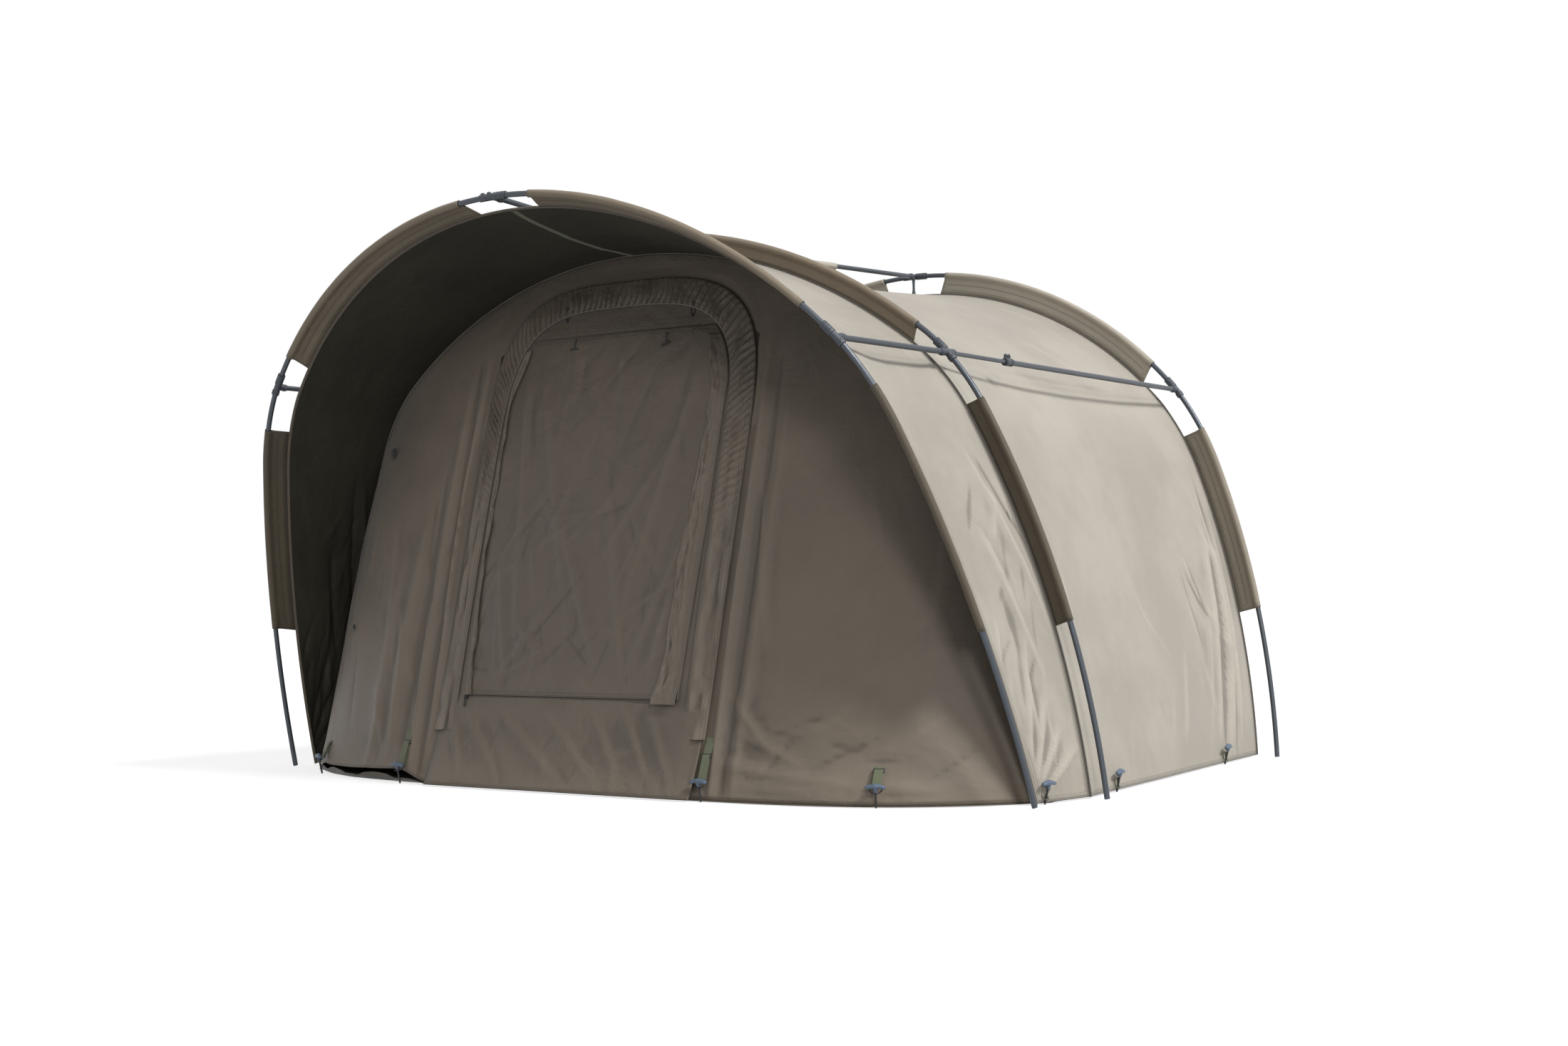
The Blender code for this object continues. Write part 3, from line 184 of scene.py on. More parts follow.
class ArchLine:
    """One arch pole's middle line. A place is a length from the crown, negative to the left."""

    def __init__(self, arch):
        self.arch = arch
        drop = arch.crown - arch.shoulder_z
        radius = (arch.shoulder_x**2 + drop**2) / (2 * drop)
        turn = np.linspace(0, atan2(arch.shoulder_x, radius - drop), DENSE)
        roof = np.stack([radius * np.sin(turn), arch.crown - radius * (1 - np.cos(turn))], 1)
        shoulder = roof[-1]
        foot = np.array([arch.foot_half_width, 0])
        along = unit(foot - shoulder)
        outward = np.array([-along[1], along[0]])
        share = np.linspace(0, 1, DENSE)[:, None]
        leg = shoulder + (foot - shoulder) * share + outward * 4 * arch.bow * share * (1 - share)
        roof_lengths, leg_lengths = lengths_of(roof), lengths_of(leg)
        blend_start = roof_lengths[-1] - ELBOW_BLEND
        start = at_length(roof, roof_lengths, blend_start)
        end = at_length(leg, leg_lengths, ELBOW_BLEND)
        bend = (1 - share) ** 2 * start + 2 * share * (1 - share) * shoulder + share**2 * end
        rough = np.concatenate([roof[roof_lengths < blend_start], bend, leg[leg_lengths > ELBOW_BLEND]])
        rough_lengths = lengths_of(rough)
        self.length = rough_lengths[-1]
        self.places = np.linspace(0, self.length, 4 * DENSE)
        self.points = at_length(rough, rough_lengths, self.places)
        tangents = np.gradient(self.points, self.places, axis=0)
        tangents[0] = (1, 0)
        tangents = unit(tangents)
        self.outwards = np.stack([-tangents[:, 1], tangents[:, 0]], 1)
        self.back = np.array([0, cos(arch.lean), -sin(arch.lean)])
        low_end = self.length - LOWER_SLEEVE_RISE
        hem = self.place_at_height(HEM_HEIGHT, arch.web * cos(arch.turn))
        upper = np.linspace(CROWN_CUT, arch.joint - UPPER_SLEEVE_GAP, 8)
        lower = np.linspace(arch.joint + LOWER_SLEEVE_GAP, low_end, 5)
        leg_part = np.linspace(low_end, hem, 3)[1:]
        marks = np.concatenate([[0], upper, [arch.joint], lower, leg_part])
        self.marks = softened(marks)
        self.hem = hem

    def spread(self, flat, place):
        lean = self.arch.lean
        side = np.where(np.asarray(place) < 0, -1.0, 1.0)
        return np.stack([side * flat[..., 0], flat[..., 1] * sin(lean), flat[..., 1] * cos(lean)], -1)

    def outward(self, place):
        return self.spread(unit(at_length(self.outwards, self.places, np.abs(place))), place)

    def at(self, place, inset=0.0, back=0.0):
        """World points at places, moved in towards the tent and back along Y."""
        inset, back = np.asarray(inset), np.asarray(back)
        middle = self.spread(at_length(self.points, self.places, np.abs(place)), place)
        foot = np.array([0, self.arch.foot_y, 0])
        return middle + foot - self.outward(place) * inset[..., None] + self.back * back[..., None]

    def seam(self, place, deeper=0.0, edge=0.0):
        """World points on the arch's seam, or so far inside it and beside it."""
        arch = self.arch
        behind = np.array([0, arch.web * sin(arch.turn), 0])
        return self.at(place, arch.web * cos(arch.turn) + np.asarray(deeper), edge) + behind

    def web_frame(self, place):
        """At each place: the seam, the direction from it out to the pole, and the direction across that."""
        base = self.seam(place)
        away = self.at(place) - base
        along = np.cross(self.outward(place), self.back)
        away = unit(away - along * (away * along).sum(-1, keepdims=True))
        across = np.cross(along, away)
        return base, away, across

    def place_at_height(self, height, inset=0.0):
        heights = (self.points - self.outwards * inset)[:, 1] * cos(self.arch.lean)
        return float(np.interp(-height, -heights, self.places))

    def place(self, mark):
        """The place of a seam mark, from -HALF at the left hem to HALF at the right one."""
        reach = np.interp(np.abs(mark), np.linspace(0, HALF, len(self.marks)), self.marks)
        return np.where(np.asarray(mark) < 0, -reach, reach)


def softened(marks):
    """The marks' places on fine steps, with their changes of pace smoothed."""
    fine = np.interp(np.linspace(0, HALF, 100 * HALF + 1), np.arange(HALF + 1), marks)
    reach = 100
    window = np.exp(-(np.linspace(-2.5, 2.5, 2 * reach + 1) ** 2) / 2)
    head = 2 * fine[0] - fine[reach:0:-1]
    tail = 2 * fine[-1] - fine[-2 : -reach - 2 : -1]
    return np.convolve(np.concatenate([head, fine, tail]), window / window.sum(), "valid")


LINES = {key: ArchLine(arch) for key, arch in ARCHES.items()}


# Patterns of folds and creases
def noise(u, v, size, seed):
    """Smooth random heights from -1 to 1, with cells of the given size."""
    lattice = np.random.default_rng(seed).uniform(-1, 1, (97, 97))
    x, y = np.asarray(u) / size + 40.0, np.asarray(v) / size + 40.0
    left, low = np.floor(x).astype(int), np.floor(y).astype(int)
    fx, fy = x - left, y - low
    fx, fy = fx * fx * (3 - 2 * fx), fy * fy * (3 - 2 * fy)
    left, low = left % 96, low % 96
    lower = lattice[left, low] * (1 - fx) + lattice[left + 1, low] * fx
    upper = lattice[left, low + 1] * (1 - fx) + lattice[left + 1, low + 1] * fx
    return lower * (1 - fy) + upper * fy


def creases(u, v, lines):
    """Soft ridges along straight lines (u0, v0, u1, v1, width, height), each fading at its ends."""
    relief = np.zeros(np.broadcast(u, v).shape)
    for u0, v0, u1, v1, width, height in lines:
        reach = hypot(u1 - u0, v1 - v0)
        along = ((u - u0) * (u1 - u0) + (v - v0) * (v1 - v0)) / reach**2
        off = ((u - u0) * (v1 - v0) - (v - v0) * (u1 - u0)) / reach
        fade = grown(4 * along * (1 - along))
        relief += height * fade * np.exp(0.3 - np.sqrt((off / width) ** 2 + 0.09))
    return relief


def scattered(seed, count, box, angle, spread, length, width, height):
    """Random crease lines inside box (u0, v0, u1, v1), about one angle."""
    rng = np.random.default_rng(seed)
    lines = []
    for _ in range(count):
        u, v = rng.uniform(box[0], box[2]), rng.uniform(box[1], box[3])
        turn = angle + rng.normal(0, spread)
        reach = length * rng.uniform(0.4, 1.0) / 2
        du, dv = reach * cos(turn), reach * sin(turn)
        rise = height * rng.uniform(0.3, 1.0) * rng.choice([-1, 1])
        lines.append((u - du, v - dv, u + du, v + dv, width * rng.uniform(0.6, 1.4), rise))
    return lines


def grown(value, reach=1.0):
    """A share that grows from 0 to 1 as the value grows from 0 to a reach."""
    return np.clip(value / reach, 0, 1)


def within(value, low, high, edge):
    """1 between low and high, falling smoothly to 0 over an edge at each end."""
    rise = grown(value - low, edge)
    fall = grown(high - value, edge)
    return rise * rise * (3 - 2 * rise) * fall * fall * (3 - 2 * fall)


# Cloth between the arches
Bay = namedtuple("Bay", "a b sag")
BAYS = {"front": Bay("front", "middle", HOOD_SAG), "main": Bay("middle", "rear", MAIN_SAG)}


def tape_edge(key):
    """How far beside an arch's seam the cloth ends, clear of the tape along the seam."""
    turn = ARCHES[key].turn
    side = BINDING_WIDTH / 2 / cos(turn)
    if turn:
        side = min(side, BINDING_DEPTH / 2 / sin(turn))
    return side + SEAM_GAP + CLOTH / 2 * sin(turn) * cos(turn)


def canopy(bay, share, mark, deeper=0.0, closer=0.0):
    """Points and outward directions of a bay's cloth, at shares of the way between its arches."""
    share, mark = np.asarray(share, float), np.asarray(mark, float)
    line_a, line_b = LINES[bay.a], LINES[bay.b]
    place_a, place_b = line_a.place(mark), line_b.place(mark)
    start = line_a.seam(place_a, deeper, tape_edge(bay.a) - closer)
    end = line_b.seam(place_b, deeper, closer - tape_edge(bay.b))
    out = unit(line_a.outward(place_a) + line_b.outward(place_b))
    level = np.abs(mark) / HALF
    dip = bay.sag * 4 * share * (1 - share) * (1 - level**6)
    return start + (end - start) * share[..., None] - out * dip[..., None], out


class EndWall:
    """The upright cloth that closes one end: straight up from the hem to the seam under an arch."""

    def __init__(self, key, bulge, flare_share):
        self.bulge = bulge
        line = LINES[key]
        deeper = BINDING_DEPTH / 2 + CLOTH / 2 + SEAT_GAP
        elbow = line.at(line.arch.joint + LOWER_SLEEVE_GAP)[2]
        marks = np.linspace(0, HALF, 321)
        level = np.maximum(0, 1 - line.seam(line.place(marks))[:, 2] / elbow)
        share = flare_share * level**2
        plain = line.seam(line.place(marks), deeper)
        flared = canopy(BAYS["front"], 1 - share, marks, deeper)[0]
        self.edge = np.where(share[:, None] > 0, flared, plain)
        self.edge[-1, 2] = HEM_HEIGHT
        self.foot = self.edge[-1]

    def hem_y(self, x):
        share = np.minimum(1.0, np.abs(x) / self.foot[0])
        return self.foot[1] + (self.bulge - self.foot[1]) * (1 - share**BULGE_POWER)

    def top(self, x):
        reach = np.abs(x)
        return [np.interp(reach, self.edge[:, 0], self.edge[:, i]) for i in (1, 2)]

    def y_at(self, x, z):
        top_y, top_z = self.top(x)
        share = np.minimum(1.0, z / np.maximum(top_z, HEM_HEIGHT))
        return self.hem_y(x) * (1 - share) + top_y * share


FRONT_WALL = EndWall("middle", -FRONT_BULGE, CORNER_FLARE_SHARE)
BACK_WALL = EndWall("rear", ARCHES["rear"].foot_y + BACK_BULGE, 0)
DOORWAY_HEIGHT = float(FRONT_WALL.top(0)[1]) - DOORWAY_HEADER
WINDOW_TOP_HEIGHT = DOORWAY_HEIGHT - WINDOW_HEADER


def doorway_top(x, grow=0.0):
    """The height of the doorway's edge at x, with the outline grown by a margin."""
    half = DOORWAY_HALF_WIDTH + grow
    rise = DOORWAY_HEIGHT + grow - DOORWAY_SPRING_HEIGHT
    share = np.minimum(1.0, np.abs(x) / half)
    return DOORWAY_SPRING_HEIGHT + rise * (1 - share**DOORWAY_POWER) ** (1 / DOORWAY_POWER)


def doorway_side(z, grow=0.0):
    """Half the doorway's width at a height, with the outline grown by a margin."""
    rise = DOORWAY_HEIGHT + grow - DOORWAY_SPRING_HEIGHT
    share = grown(z - DOORWAY_SPRING_HEIGHT, rise)
    return (DOORWAY_HALF_WIDTH + grow) * (1 - share**DOORWAY_POWER) ** (1 / DOORWAY_POWER)


def doorway_outline(grow=0.0):
    """The right half of the doorway's edge as x and z, from the top middle to the hem."""
    half = DOORWAY_HALF_WIDTH + grow
    rise = DOORWAY_HEIGHT + grow - DOORWAY_SPRING_HEIGHT
    turn = np.linspace(0, pi / 2, 4 * DENSE)
    x = half * np.sin(turn) ** (2 / DOORWAY_POWER)
    z = DOORWAY_SPRING_HEIGHT + rise * np.cos(turn) ** (2 / DOORWAY_POWER)
    side = np.array([[half, DOORWAY_SPRING_HEIGHT], [half, HEM_HEIGHT]])
    return np.concatenate([np.stack([x, z], 1)[:-1], side])


def billow(x, z):
    """How far the door's layers swell forward, with a flare along the foot."""
    level = np.minimum(1, z / doorway_top(x, DOOR_LAP))
    across = 1 - np.minimum(1, np.abs(x) / (DOORWAY_HALF_WIDTH + DOOR_LAP)) ** 8
    return DOOR_BILLOW * np.sin(pi * level) * across + APRON_FLARE * np.maximum(0, 1 - z / APRON_HEIGHT) ** 2


def door_y(x, z, layer, extra=0.0):
    """How far forward a door layer lies; layer 1 is the door's own cloth."""
    low = WINDOW_BOTTOM_HEIGHT + WINDOW_LAP
    rise = grown(DOORWAY_SPRING_HEIGHT - z, DOORWAY_SPRING_HEIGHT - low)
    beside = np.maximum(np.abs(x), WINDOW_BOTTOM_HALF_WIDTH * rise)
    return FRONT_WALL.y_at(beside, z) - billow(beside, z) - layer * (CLOTH + DOOR_GAP) - extra


def door_points(x, z, layer, extra=0.0):
    """Points of a door layer at x and z."""
    x, z = np.broadcast_arrays(x, z)
    return np.stack([x, door_y(x, z, layer, extra), z], -1)


# Mesh pieces
FULL_DEPTH = 0.005
REACHES = (1, 2, 4, 6)


# The fold mark from here is what the cloth's materials use to paint shade into folds and highlights onto ridges
def hollows(points, out):
    """How deep each point of a grid lies beside its surroundings: 0 on a ridge, 0.5 where flat, 1 in a fold."""
    depth = np.zeros(points.shape[:2])
    for axis in (0, 1):
        here = np.arange(points.shape[axis])
        for reach in REACHES:
            near = [np.take(points, np.clip(here + turn * reach, 0, here[-1]), axis) for turn in (-1, 1)]
            depth += ((sum(near) / 2 - points) * out).sum(-1) / len(REACHES)
    return 0.5 + 0.5 * np.clip(depth / FULL_DEPTH, -1, 1)


def facing_of(points):
    """Which way a grid's surface faces at each point, not yet turned outward."""
    return np.cross(np.gradient(points, axis=1), np.gradient(points, axis=0))


def placed(name, data):
    """A new object in the scene."""
    obj = bpy.data.objects.new(name, data)
    bpy.context.scene.collection.objects.link(obj)
    return obj


class Piece:
    """One mesh in the making, with a UV map in metres and three marks on each point.

    They are its distance from a sewn edge, its length along that edge and how deep it lies in a fold, from which the
    cloth's materials paint shade into folds and highlights onto ridges.
    """

    def __init__(self):
        self.bm = self.start()

    def start(self):
        bm = bmesh.new()
        bm.loops.layers.uv.new("UVMap")
        for mark in MARKS:
            bm.verts.layers.float.new(mark)
        return bm

    def grid(self, points, seam=1.0, run=0.0, skip=None, outside=None, wrap=False, caps=False, uv=None):
        """Adds a grid laid through points[row, column]; outside is a point that its faces look away from."""
        bm = self.start()
        rows, columns = points.shape[:2]
        bmesh.ops.create_grid(bm, x_segments=columns - 1, y_segments=rows - 1, size=1)
        bm.verts.index_update()
        if uv is None:
            steps = [np.linalg.norm(np.diff(points, axis=axis), axis=-1).mean(1 - axis) for axis in (1, 0)]
            uv = np.stack(np.meshgrid(*(np.append(0, np.cumsum(step)) for step in steps)), -1)
        places = uv.reshape(-1, 2).tolist()
        fold, inside_out = 0.5, False
        if outside is not None:
            facing = facing_of(points)
            inside_out = (facing * (points - np.array(outside))).sum() < 0
            length = np.maximum(np.linalg.norm(facing, axis=-1, keepdims=True), 1e-12)
            fold = hollows(points, facing / length * (-1 if inside_out else 1))
        values = [np.broadcast_to(value, (rows, columns)).ravel().tolist() for value in (seam, run, fold)]
        seam_layer, run_layer, fold_layer = (bm.verts.layers.float[mark] for mark in MARKS)
        for vert, point, *marks in zip(bm.verts, points.reshape(-1, 3).tolist(), *values):
            vert.co = point
            vert[seam_layer], vert[run_layer], vert[fold_layer] = marks
        layer = bm.loops.layers.uv["UVMap"]
        for face in bm.faces:
            for loop in face.loops:
                loop[layer].uv = places[loop.vert.index]
        if inside_out:
            bmesh.ops.reverse_faces(bm, faces=bm.faces)
        if skip is not None:
            gone = [f for f in bm.faces if skip[divmod(min(v.index for v in f.verts), columns)]]
            bmesh.ops.delete(bm, geom=gone, context="FACES")
        if wrap:
            bmesh.ops.remove_doubles(bm, verts=bm.verts, dist=0.00001)
        if caps:
            bmesh.ops.holes_fill(bm, edges=[e for e in bm.edges if e.is_boundary], sides=0)
        self.add(bm)

    def tube(self, path, radii, sides=20, flat=1.0, across=None, caps=True, outline=None):
        """Adds a closed tube along a path, round unless given an outline of pairs."""
        path = np.asarray(path, float)
        tangents = unit(np.gradient(path, axis=0))
        first = np.array(across if across is not None else (0.0, 0.0, 1.0), float)
        if abs(tangents[0] @ first) > 0.95:
            first = np.array([0.0, 1.0, 0.0])
        normals = [first]
        for tangent in tangents:
            normals.append(unit(normals[-1] - tangent * (normals[-1] @ tangent)))
        normals = np.array(normals[1:])
        sideways = np.cross(tangents, normals)
        if outline is None:
            turn = np.linspace(0, 2 * pi, sides + 1)
            outline = np.stack([np.cos(turn), np.sin(turn) * flat], 1)
        else:
            outline = np.array(list(outline) + [outline[0]])
        radii = np.broadcast_to(np.asarray(radii, float), (len(path),))
        points = path[:, None] + normals[:, None] * (outline[None, :, :1] * radii[:, None, None])
        points = points + sideways[:, None] * (outline[None, :, 1:] * radii[:, None, None])
        points[:, -1] = points[:, 0]
        self.grid(points, wrap=True, caps=caps)

    def turned(self, centres, radii, side, up, sides):
        """Adds rings of the given radii round centres, in the directions side and up."""
        side, up = (np.broadcast_to(way, centres.shape)[:, None] for way in (side, up))
        turn = np.linspace(0, 2 * pi, sides + 1)[None, :, None]
        points = centres[:, None] + (side * np.cos(turn) + up * np.sin(turn)) * np.reshape(radii, (-1, 1, 1))
        points[:, -1] = points[:, 0]
        self.grid(points, wrap=True)

    def loop(self, path, radius, facing, sides=10):
        """Adds a wire ring through the points of a closed path."""
        path = np.asarray(path)
        tangents = unit(np.roll(path, -1, 0) - np.roll(path, 1, 0))
        facing = np.broadcast_to(unit(np.asarray(facing, float)), tangents.shape)
        sideways = unit(np.cross(tangents, facing))
        around = [*range(len(path)), 0]
        self.turned(path[around], radius, facing[around], sideways[around], sides)

    def block(self, size, matrix, round_by):
        """Adds a box with rounded edges."""
        bm = bmesh.new()
        bmesh.ops.create_cube(bm, size=1, matrix=Matrix.Diagonal((*size, 1)))
        edges = list(bm.edges) + list(bm.verts)
        bmesh.ops.bevel(bm, geom=edges, offset=round_by, segments=3, profile=0.5, affect="EDGES", material=-1)
        bmesh.ops.transform(bm, matrix=matrix, verts=bm.verts)
        self.add(bm)

    def add(self, bm):
        spare = bpy.data.meshes.new("spare")
        bm.to_mesh(spare)
        bm.free()
        self.bm.from_mesh(spare)
        bpy.data.meshes.remove(spare)

    def finish(self, name, body, slot, finishes, replaced=(), thickness=0.0, offset=-1.0, sharp=40):
        """Links the piece, riding a body, in its finishes and with the thickness of its cloth."""
        materials = [finish_for(key) for key in finishes.split()]
        if not thickness:
            bmesh.ops.recalc_face_normals(self.bm, faces=self.bm.faces)
        mesh = bpy.data.meshes.new(name)
        self.bm.to_mesh(mesh)
        self.bm.free()
        obj = placed(name, mesh)
        for material in materials:
            mesh.materials.append(material)
        mesh.shade_smooth()
        mesh.set_sharp_from_angle(angle=radians(sharp))
        if thickness:
            wall = obj.modifiers.new("thickness", "SOLIDIFY")
            wall.thickness = thickness
            wall.offset = offset
            wall.material_offset = len(materials) - 1
        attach(obj, body)
        if replaced:
            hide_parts(*replaced)
        return obj


def area_of(points):
    """Area of a grid of points, and its greatest width and length."""
    right, up = np.diff(points, axis=1), np.diff(points, axis=0)
    area = np.linalg.norm(np.cross(right[:-1], up[:, :-1]), axis=-1).sum()
    width = np.linalg.norm(right, axis=-1).sum(1).max()
    length = np.linalg.norm(up, axis=-1).sum(0).max()
    return float(area), float(width), float(length)


def cut_as(points):
    """Measures a grid's area and its greatest width and length, and does nothing more with them."""
    area, width, length = area_of(points)


def sewn(name, points, finishes, replaced=(), body="frame", slot="front", **options):
    """A piece of cloth laid through points; options are for Piece.finish and Piece.grid."""
    finish = {"thickness": sizes().cloth, "sharp": 60}
    finish.update({key: options.pop(key) for key in ("thickness", "offset", "sharp") if key in options})
    piece = Piece()
    piece.grid(points, **options)
    return piece.finish(name, body, slot, finishes, replaced, **finish)


# Finishes
WHITE = (1, 1, 1, 1)


class Nodes:
    """Short calls that add nodes to a tree, in front of its last one."""

    def __init__(self, tree, last):
        self.tree, self.last = tree, last

    def set(self, socket, value, node=None):
        target = (node or self.last).inputs[socket]
        if isinstance(value, bpy.types.NodeSocket):
            self.tree.links.new(value, target)
        else:
            target.default_value = value

    def node(self, kind, inputs, output=0, **settings):
        node = self.tree.nodes.new("ShaderNode" + kind)
        for key, value in settings.items():
            setattr(node, key, value)
        for key, value in inputs.items():
            self.set(key, value, node)
        return node.outputs[output]

    def sum(self, operation, *values):
        return self.node("Math", dict(enumerate(values)), operation=operation)

    def seen(self):
        """1 for the rays that show a thing to the camera, straight, mirrored or through glass."""
        seen = self.node("LightPath", {}, output="Is Camera Ray")
        for kind in ("Is Glossy Ray", "Is Transmission Ray"):
            seen = self.sum("MAXIMUM", seen, self.node("LightPath", {}, output=kind))
        return seen


class Finish(Nodes):
    """One material in the making."""

    def __init__(self, name, colour, **values):
        self.material = bpy.data.materials.new(name)
        self.material.use_nodes = True
        tree = self.material.node_tree
        super().__init__(tree, tree.nodes["Principled BSDF"])
        self.colour = (*colour, 1)
        self.set("Base Color", self.colour)
        for socket, value in values.items():
            self.set(socket.replace("_", " "), value)

    def metres(self):
        return self.node("UVMap", {}, uv_map="UVMap")

    def place(self, axis):
        spot = self.node("TexCoord", {}, output="Object")
        return self.node("SeparateXYZ", {0: spot}, output=axis)

    def marked(self, name):
        return self.node("Attribute", {}, output="Fac", attribute_name=name)

    def scaled(self, vector, across, along):
        return self.node("Mapping", {"Vector": vector, "Scale": (across, along, 1)})

    def clouds(self, vector, scale, detail=3.0, roughness=0.5, bend=0.0):
        inputs = {"Vector": vector, "Scale": scale, "Detail": detail, "Roughness": roughness, "Distortion": bend}
        return self.node("TexNoise", inputs)

    def ramp(self, value, low, high, start=0.0, end=1.0):
        inputs = {"Value": value, "From Min": low, "From Max": high, "To Min": start, "To Max": end}
        return self.node("MapRange", inputs, interpolation_type="SMOOTHSTEP")

    def blend(self, factor, first, second):
        return self.node("Mix", {0: factor, 6: first, 7: second}, output=2, data_type="RGBA")

    def bump(self, height, distance, below=None):
        inputs = {"Height": height, "Distance": distance}
        if below is not None:
            inputs["Normal"] = below
        return self.node("Bump", inputs)

    def weave(self, vector, warp, weft):
        waves = [("X", warp), ("Y", weft)]
        waves = [self.node("TexWave", {"Vector": vector, "Scale": s}, output=1, bands_direction=d) for d, s in waves]
        return self.sum("MULTIPLY", *waves)

    def near(self, value, middle, reach):
        return self.sum("COMPARE", value, middle, reach)

    def darker(self, share):
        return tuple(c * share for c in self.colour[:3]) + (1,)


# Soil on the cloth's foot, and where the two rows of stitches run beside a seam
SOIL = (0.23, 0.19, 0.135, 1)
STITCH_ROWS = (0.006, 0.014)


def cloth_finish(name, colour, crinkle, rough, dust=0.35, drag=0.0, shade=0.6):
    """Coated woven cloth: fine weave, soft crinkles, faint cloudy wear, two rows of stitches by its seams, painted
    shade in the hollows of its folds and painted highlights on their ridges.
    """
    finish = Finish(name, colour, Specular_IOR_Level=0.32, Sheen_Weight=0.12, Sheen_Roughness=0.5)
    metres = finish.metres()
    clouds = finish.clouds(metres, 2.6, 5, 0.6)
    grain = finish.clouds(metres, 240, 2)
    slubs = finish.clouds(finish.scaled(metres, 60, 900), 1.0, 2)
    weave = finish.weave(metres, 330, 330)
    seam, run = finish.marked("seam"), finish.marked("run")
    row = finish.sum("ADD", *(finish.near(seam, place, 0.0008) for place in STITCH_ROWS))
    dash = finish.near(finish.sum("FRACT", finish.sum("MULTIPLY", run, 250)), 0.5, 0.34)
    thread = finish.sum("MULTIPLY", row, dash)
    tone = finish.blend(finish.ramp(clouds, 0.35, 0.68), finish.darker(0.9), finish.darker(1.1))
    tone = finish.blend(finish.ramp(slubs, 0.3, 0.75, 0, 0.22), tone, finish.darker(0.82))
    tone = finish.blend(finish.ramp(grain, 0.4, 0.7, 0, 0.12), tone, finish.darker(1.2))
    soil = finish.sum("MULTIPLY", finish.ramp(finish.place(2), 0.16, 0.0, 0, dust), clouds)
    tone = finish.blend(soil, tone, SOIL)
    tone = finish.blend(finish.ramp(seam, 0.022, 0.0, 0, 0.25), tone, finish.darker(0.6))
    # Painted shade and highlight: the fold mark darkens the cloth in the hollows of its folds and lightens it on
    # their ridges, as strongly as shade sets
    fold = finish.marked("fold")
    tone = finish.blend(finish.ramp(fold, 0.52, 1.0, 0, shade), tone, finish.darker(0.33))
    tone = finish.blend(finish.ramp(fold, 0.46, 0.0, 0, 0.6 * shade), tone, finish.darker(1.40))
    tone = finish.blend(finish.sum("MULTIPLY", thread, 0.7), tone, finish.darker(0.45))
    finish.set("Base Color", tone)
    finish.set("Roughness", finish.ramp(clouds, 0.3, 0.7, rough - 0.05, rough + 0.08))
    folds = finish.clouds(metres, 9, 4, 0.55, 0.6)
    crumple = finish.node("TexVoronoi", {"Vector": metres, "Scale": 16.0}, feature="SMOOTH_F1")
    height = finish.bump(folds, crinkle * 5)
    height = finish.bump(crumple, crinkle * 0.8, height)
    if drag:
        for across, along, share in ((13, 2.2, 1.0), (34, 9, 0.35)):
            inputs = {"Vector": finish.scaled(metres, across, along), "Scale": 1.0, "Detail": 2.0, "Distortion": 0.5}
            ridges = finish.node("TexNoise", inputs, noise_type="RIDGED_MULTIFRACTAL")
            height = finish.bump(ridges, drag * share, height)
    pucker = finish.sum("MULTIPLY", finish.clouds(metres, 75, 1), finish.ramp(seam, 0.04, 0.0))
    height = finish.bump(pucker, 0.0016, height)
    height = finish.bump(thread, 0.0004, height)
    height = finish.bump(weave, 0.00012, height)
    finish.set("Normal", height)
    return finish.material


def lining_finish(name, colour):
    """The smooth coated inside of the cloth; its dark colour is partly the coating's own and partly painted shade."""
    finish = Finish(name, colour, Specular_IOR_Level=0.22)
    metres = finish.metres()
    clouds = finish.clouds(metres, 3.0, 4)
    tone = finish.blend(finish.ramp(clouds, 0.35, 0.7), finish.darker(0.85), finish.darker(1.15))
    slubs = finish.clouds(finish.scaled(metres, 60, 900), 1.0, 2)
    finish.set("Base Color", finish.blend(finish.ramp(slubs, 0.3, 0.8, 0, 0.3), tone, finish.darker(1.4)))
    finish.set("Roughness", finish.ramp(clouds, 0.3, 0.7, 0.62, 0.75))
    finish.set("Normal", finish.bump(finish.clouds(metres, 11, 4, 0.55, 0.5), 0.006))
    return finish.material


def metal_finish(name, colour, rough):
    """Satin gunmetal tube with fine draw lines and worn, paler spots."""
    finish = Finish(name, colour, Metallic=0.35, Specular_IOR_Level=0.5)
    metres = finish.metres()
    lines = finish.clouds(finish.scaled(metres, 900, 9), 1.0, 2)
    wear = finish.clouds(metres, 55, 4, 0.65)
    finish.set("Base Color", finish.blend(finish.ramp(wear, 0.6, 0.78), finish.colour, finish.darker(1.7)))
    finish.set("Roughness", finish.ramp(lines, 0.3, 0.7, rough - 0.06, rough + 0.08))
    finish.set("Normal", finish.bump(lines, 0.0001))
    return finish.material


def moulded_finish(name, colour, rough):
    """Moulded plastic with a fine spark grain and edges rubbed paler."""
    finish = Finish(name, colour, Specular_IOR_Level=0.45)
    spot = finish.node("TexCoord", {}, output="Object")
    rub = finish.clouds(spot, 60, 4, 0.65)
    finish.set("Base Color", finish.blend(finish.ramp(rub, 0.5, 0.75, 0, 0.5), finish.colour, finish.darker(1.5)))
    finish.set("Roughness", finish.ramp(rub, 0.3, 0.7, rough - 0.05, rough + 0.1))
    finish.set("Normal", finish.bump(finish.clouds(spot, 900, 2), 0.0002))
    return finish.material


def webbing_finish(name, colour):
    """Ribbed narrow webbing."""
    finish = Finish(name, colour, Roughness=0.85, Sheen_Weight=0.2)
    metres = finish.metres()
    cells = finish.weave(metres, 150, 240)
    finish.set("Base Color", finish.blend(finish.sum("MULTIPLY", cells, 0.5), finish.colour, finish.darker(0.55)))
    finish.set("Normal", finish.bump(cells, 0.0005))
    return finish.material


def floor_finish():
    """A pale floor that keeps shadows and shows plain white where nothing shades it."""
    finish = Finish("studio_floor", (0.40, 0.40, 0.40), Roughness=0.9, Specular_IOR_Level=0.0)
    finish.set("Emission Color", WHITE)
    finish.set("Emission Strength", finish.sum("MULTIPLY", finish.seen(), FLOOR_LIFT))
    return finish.material


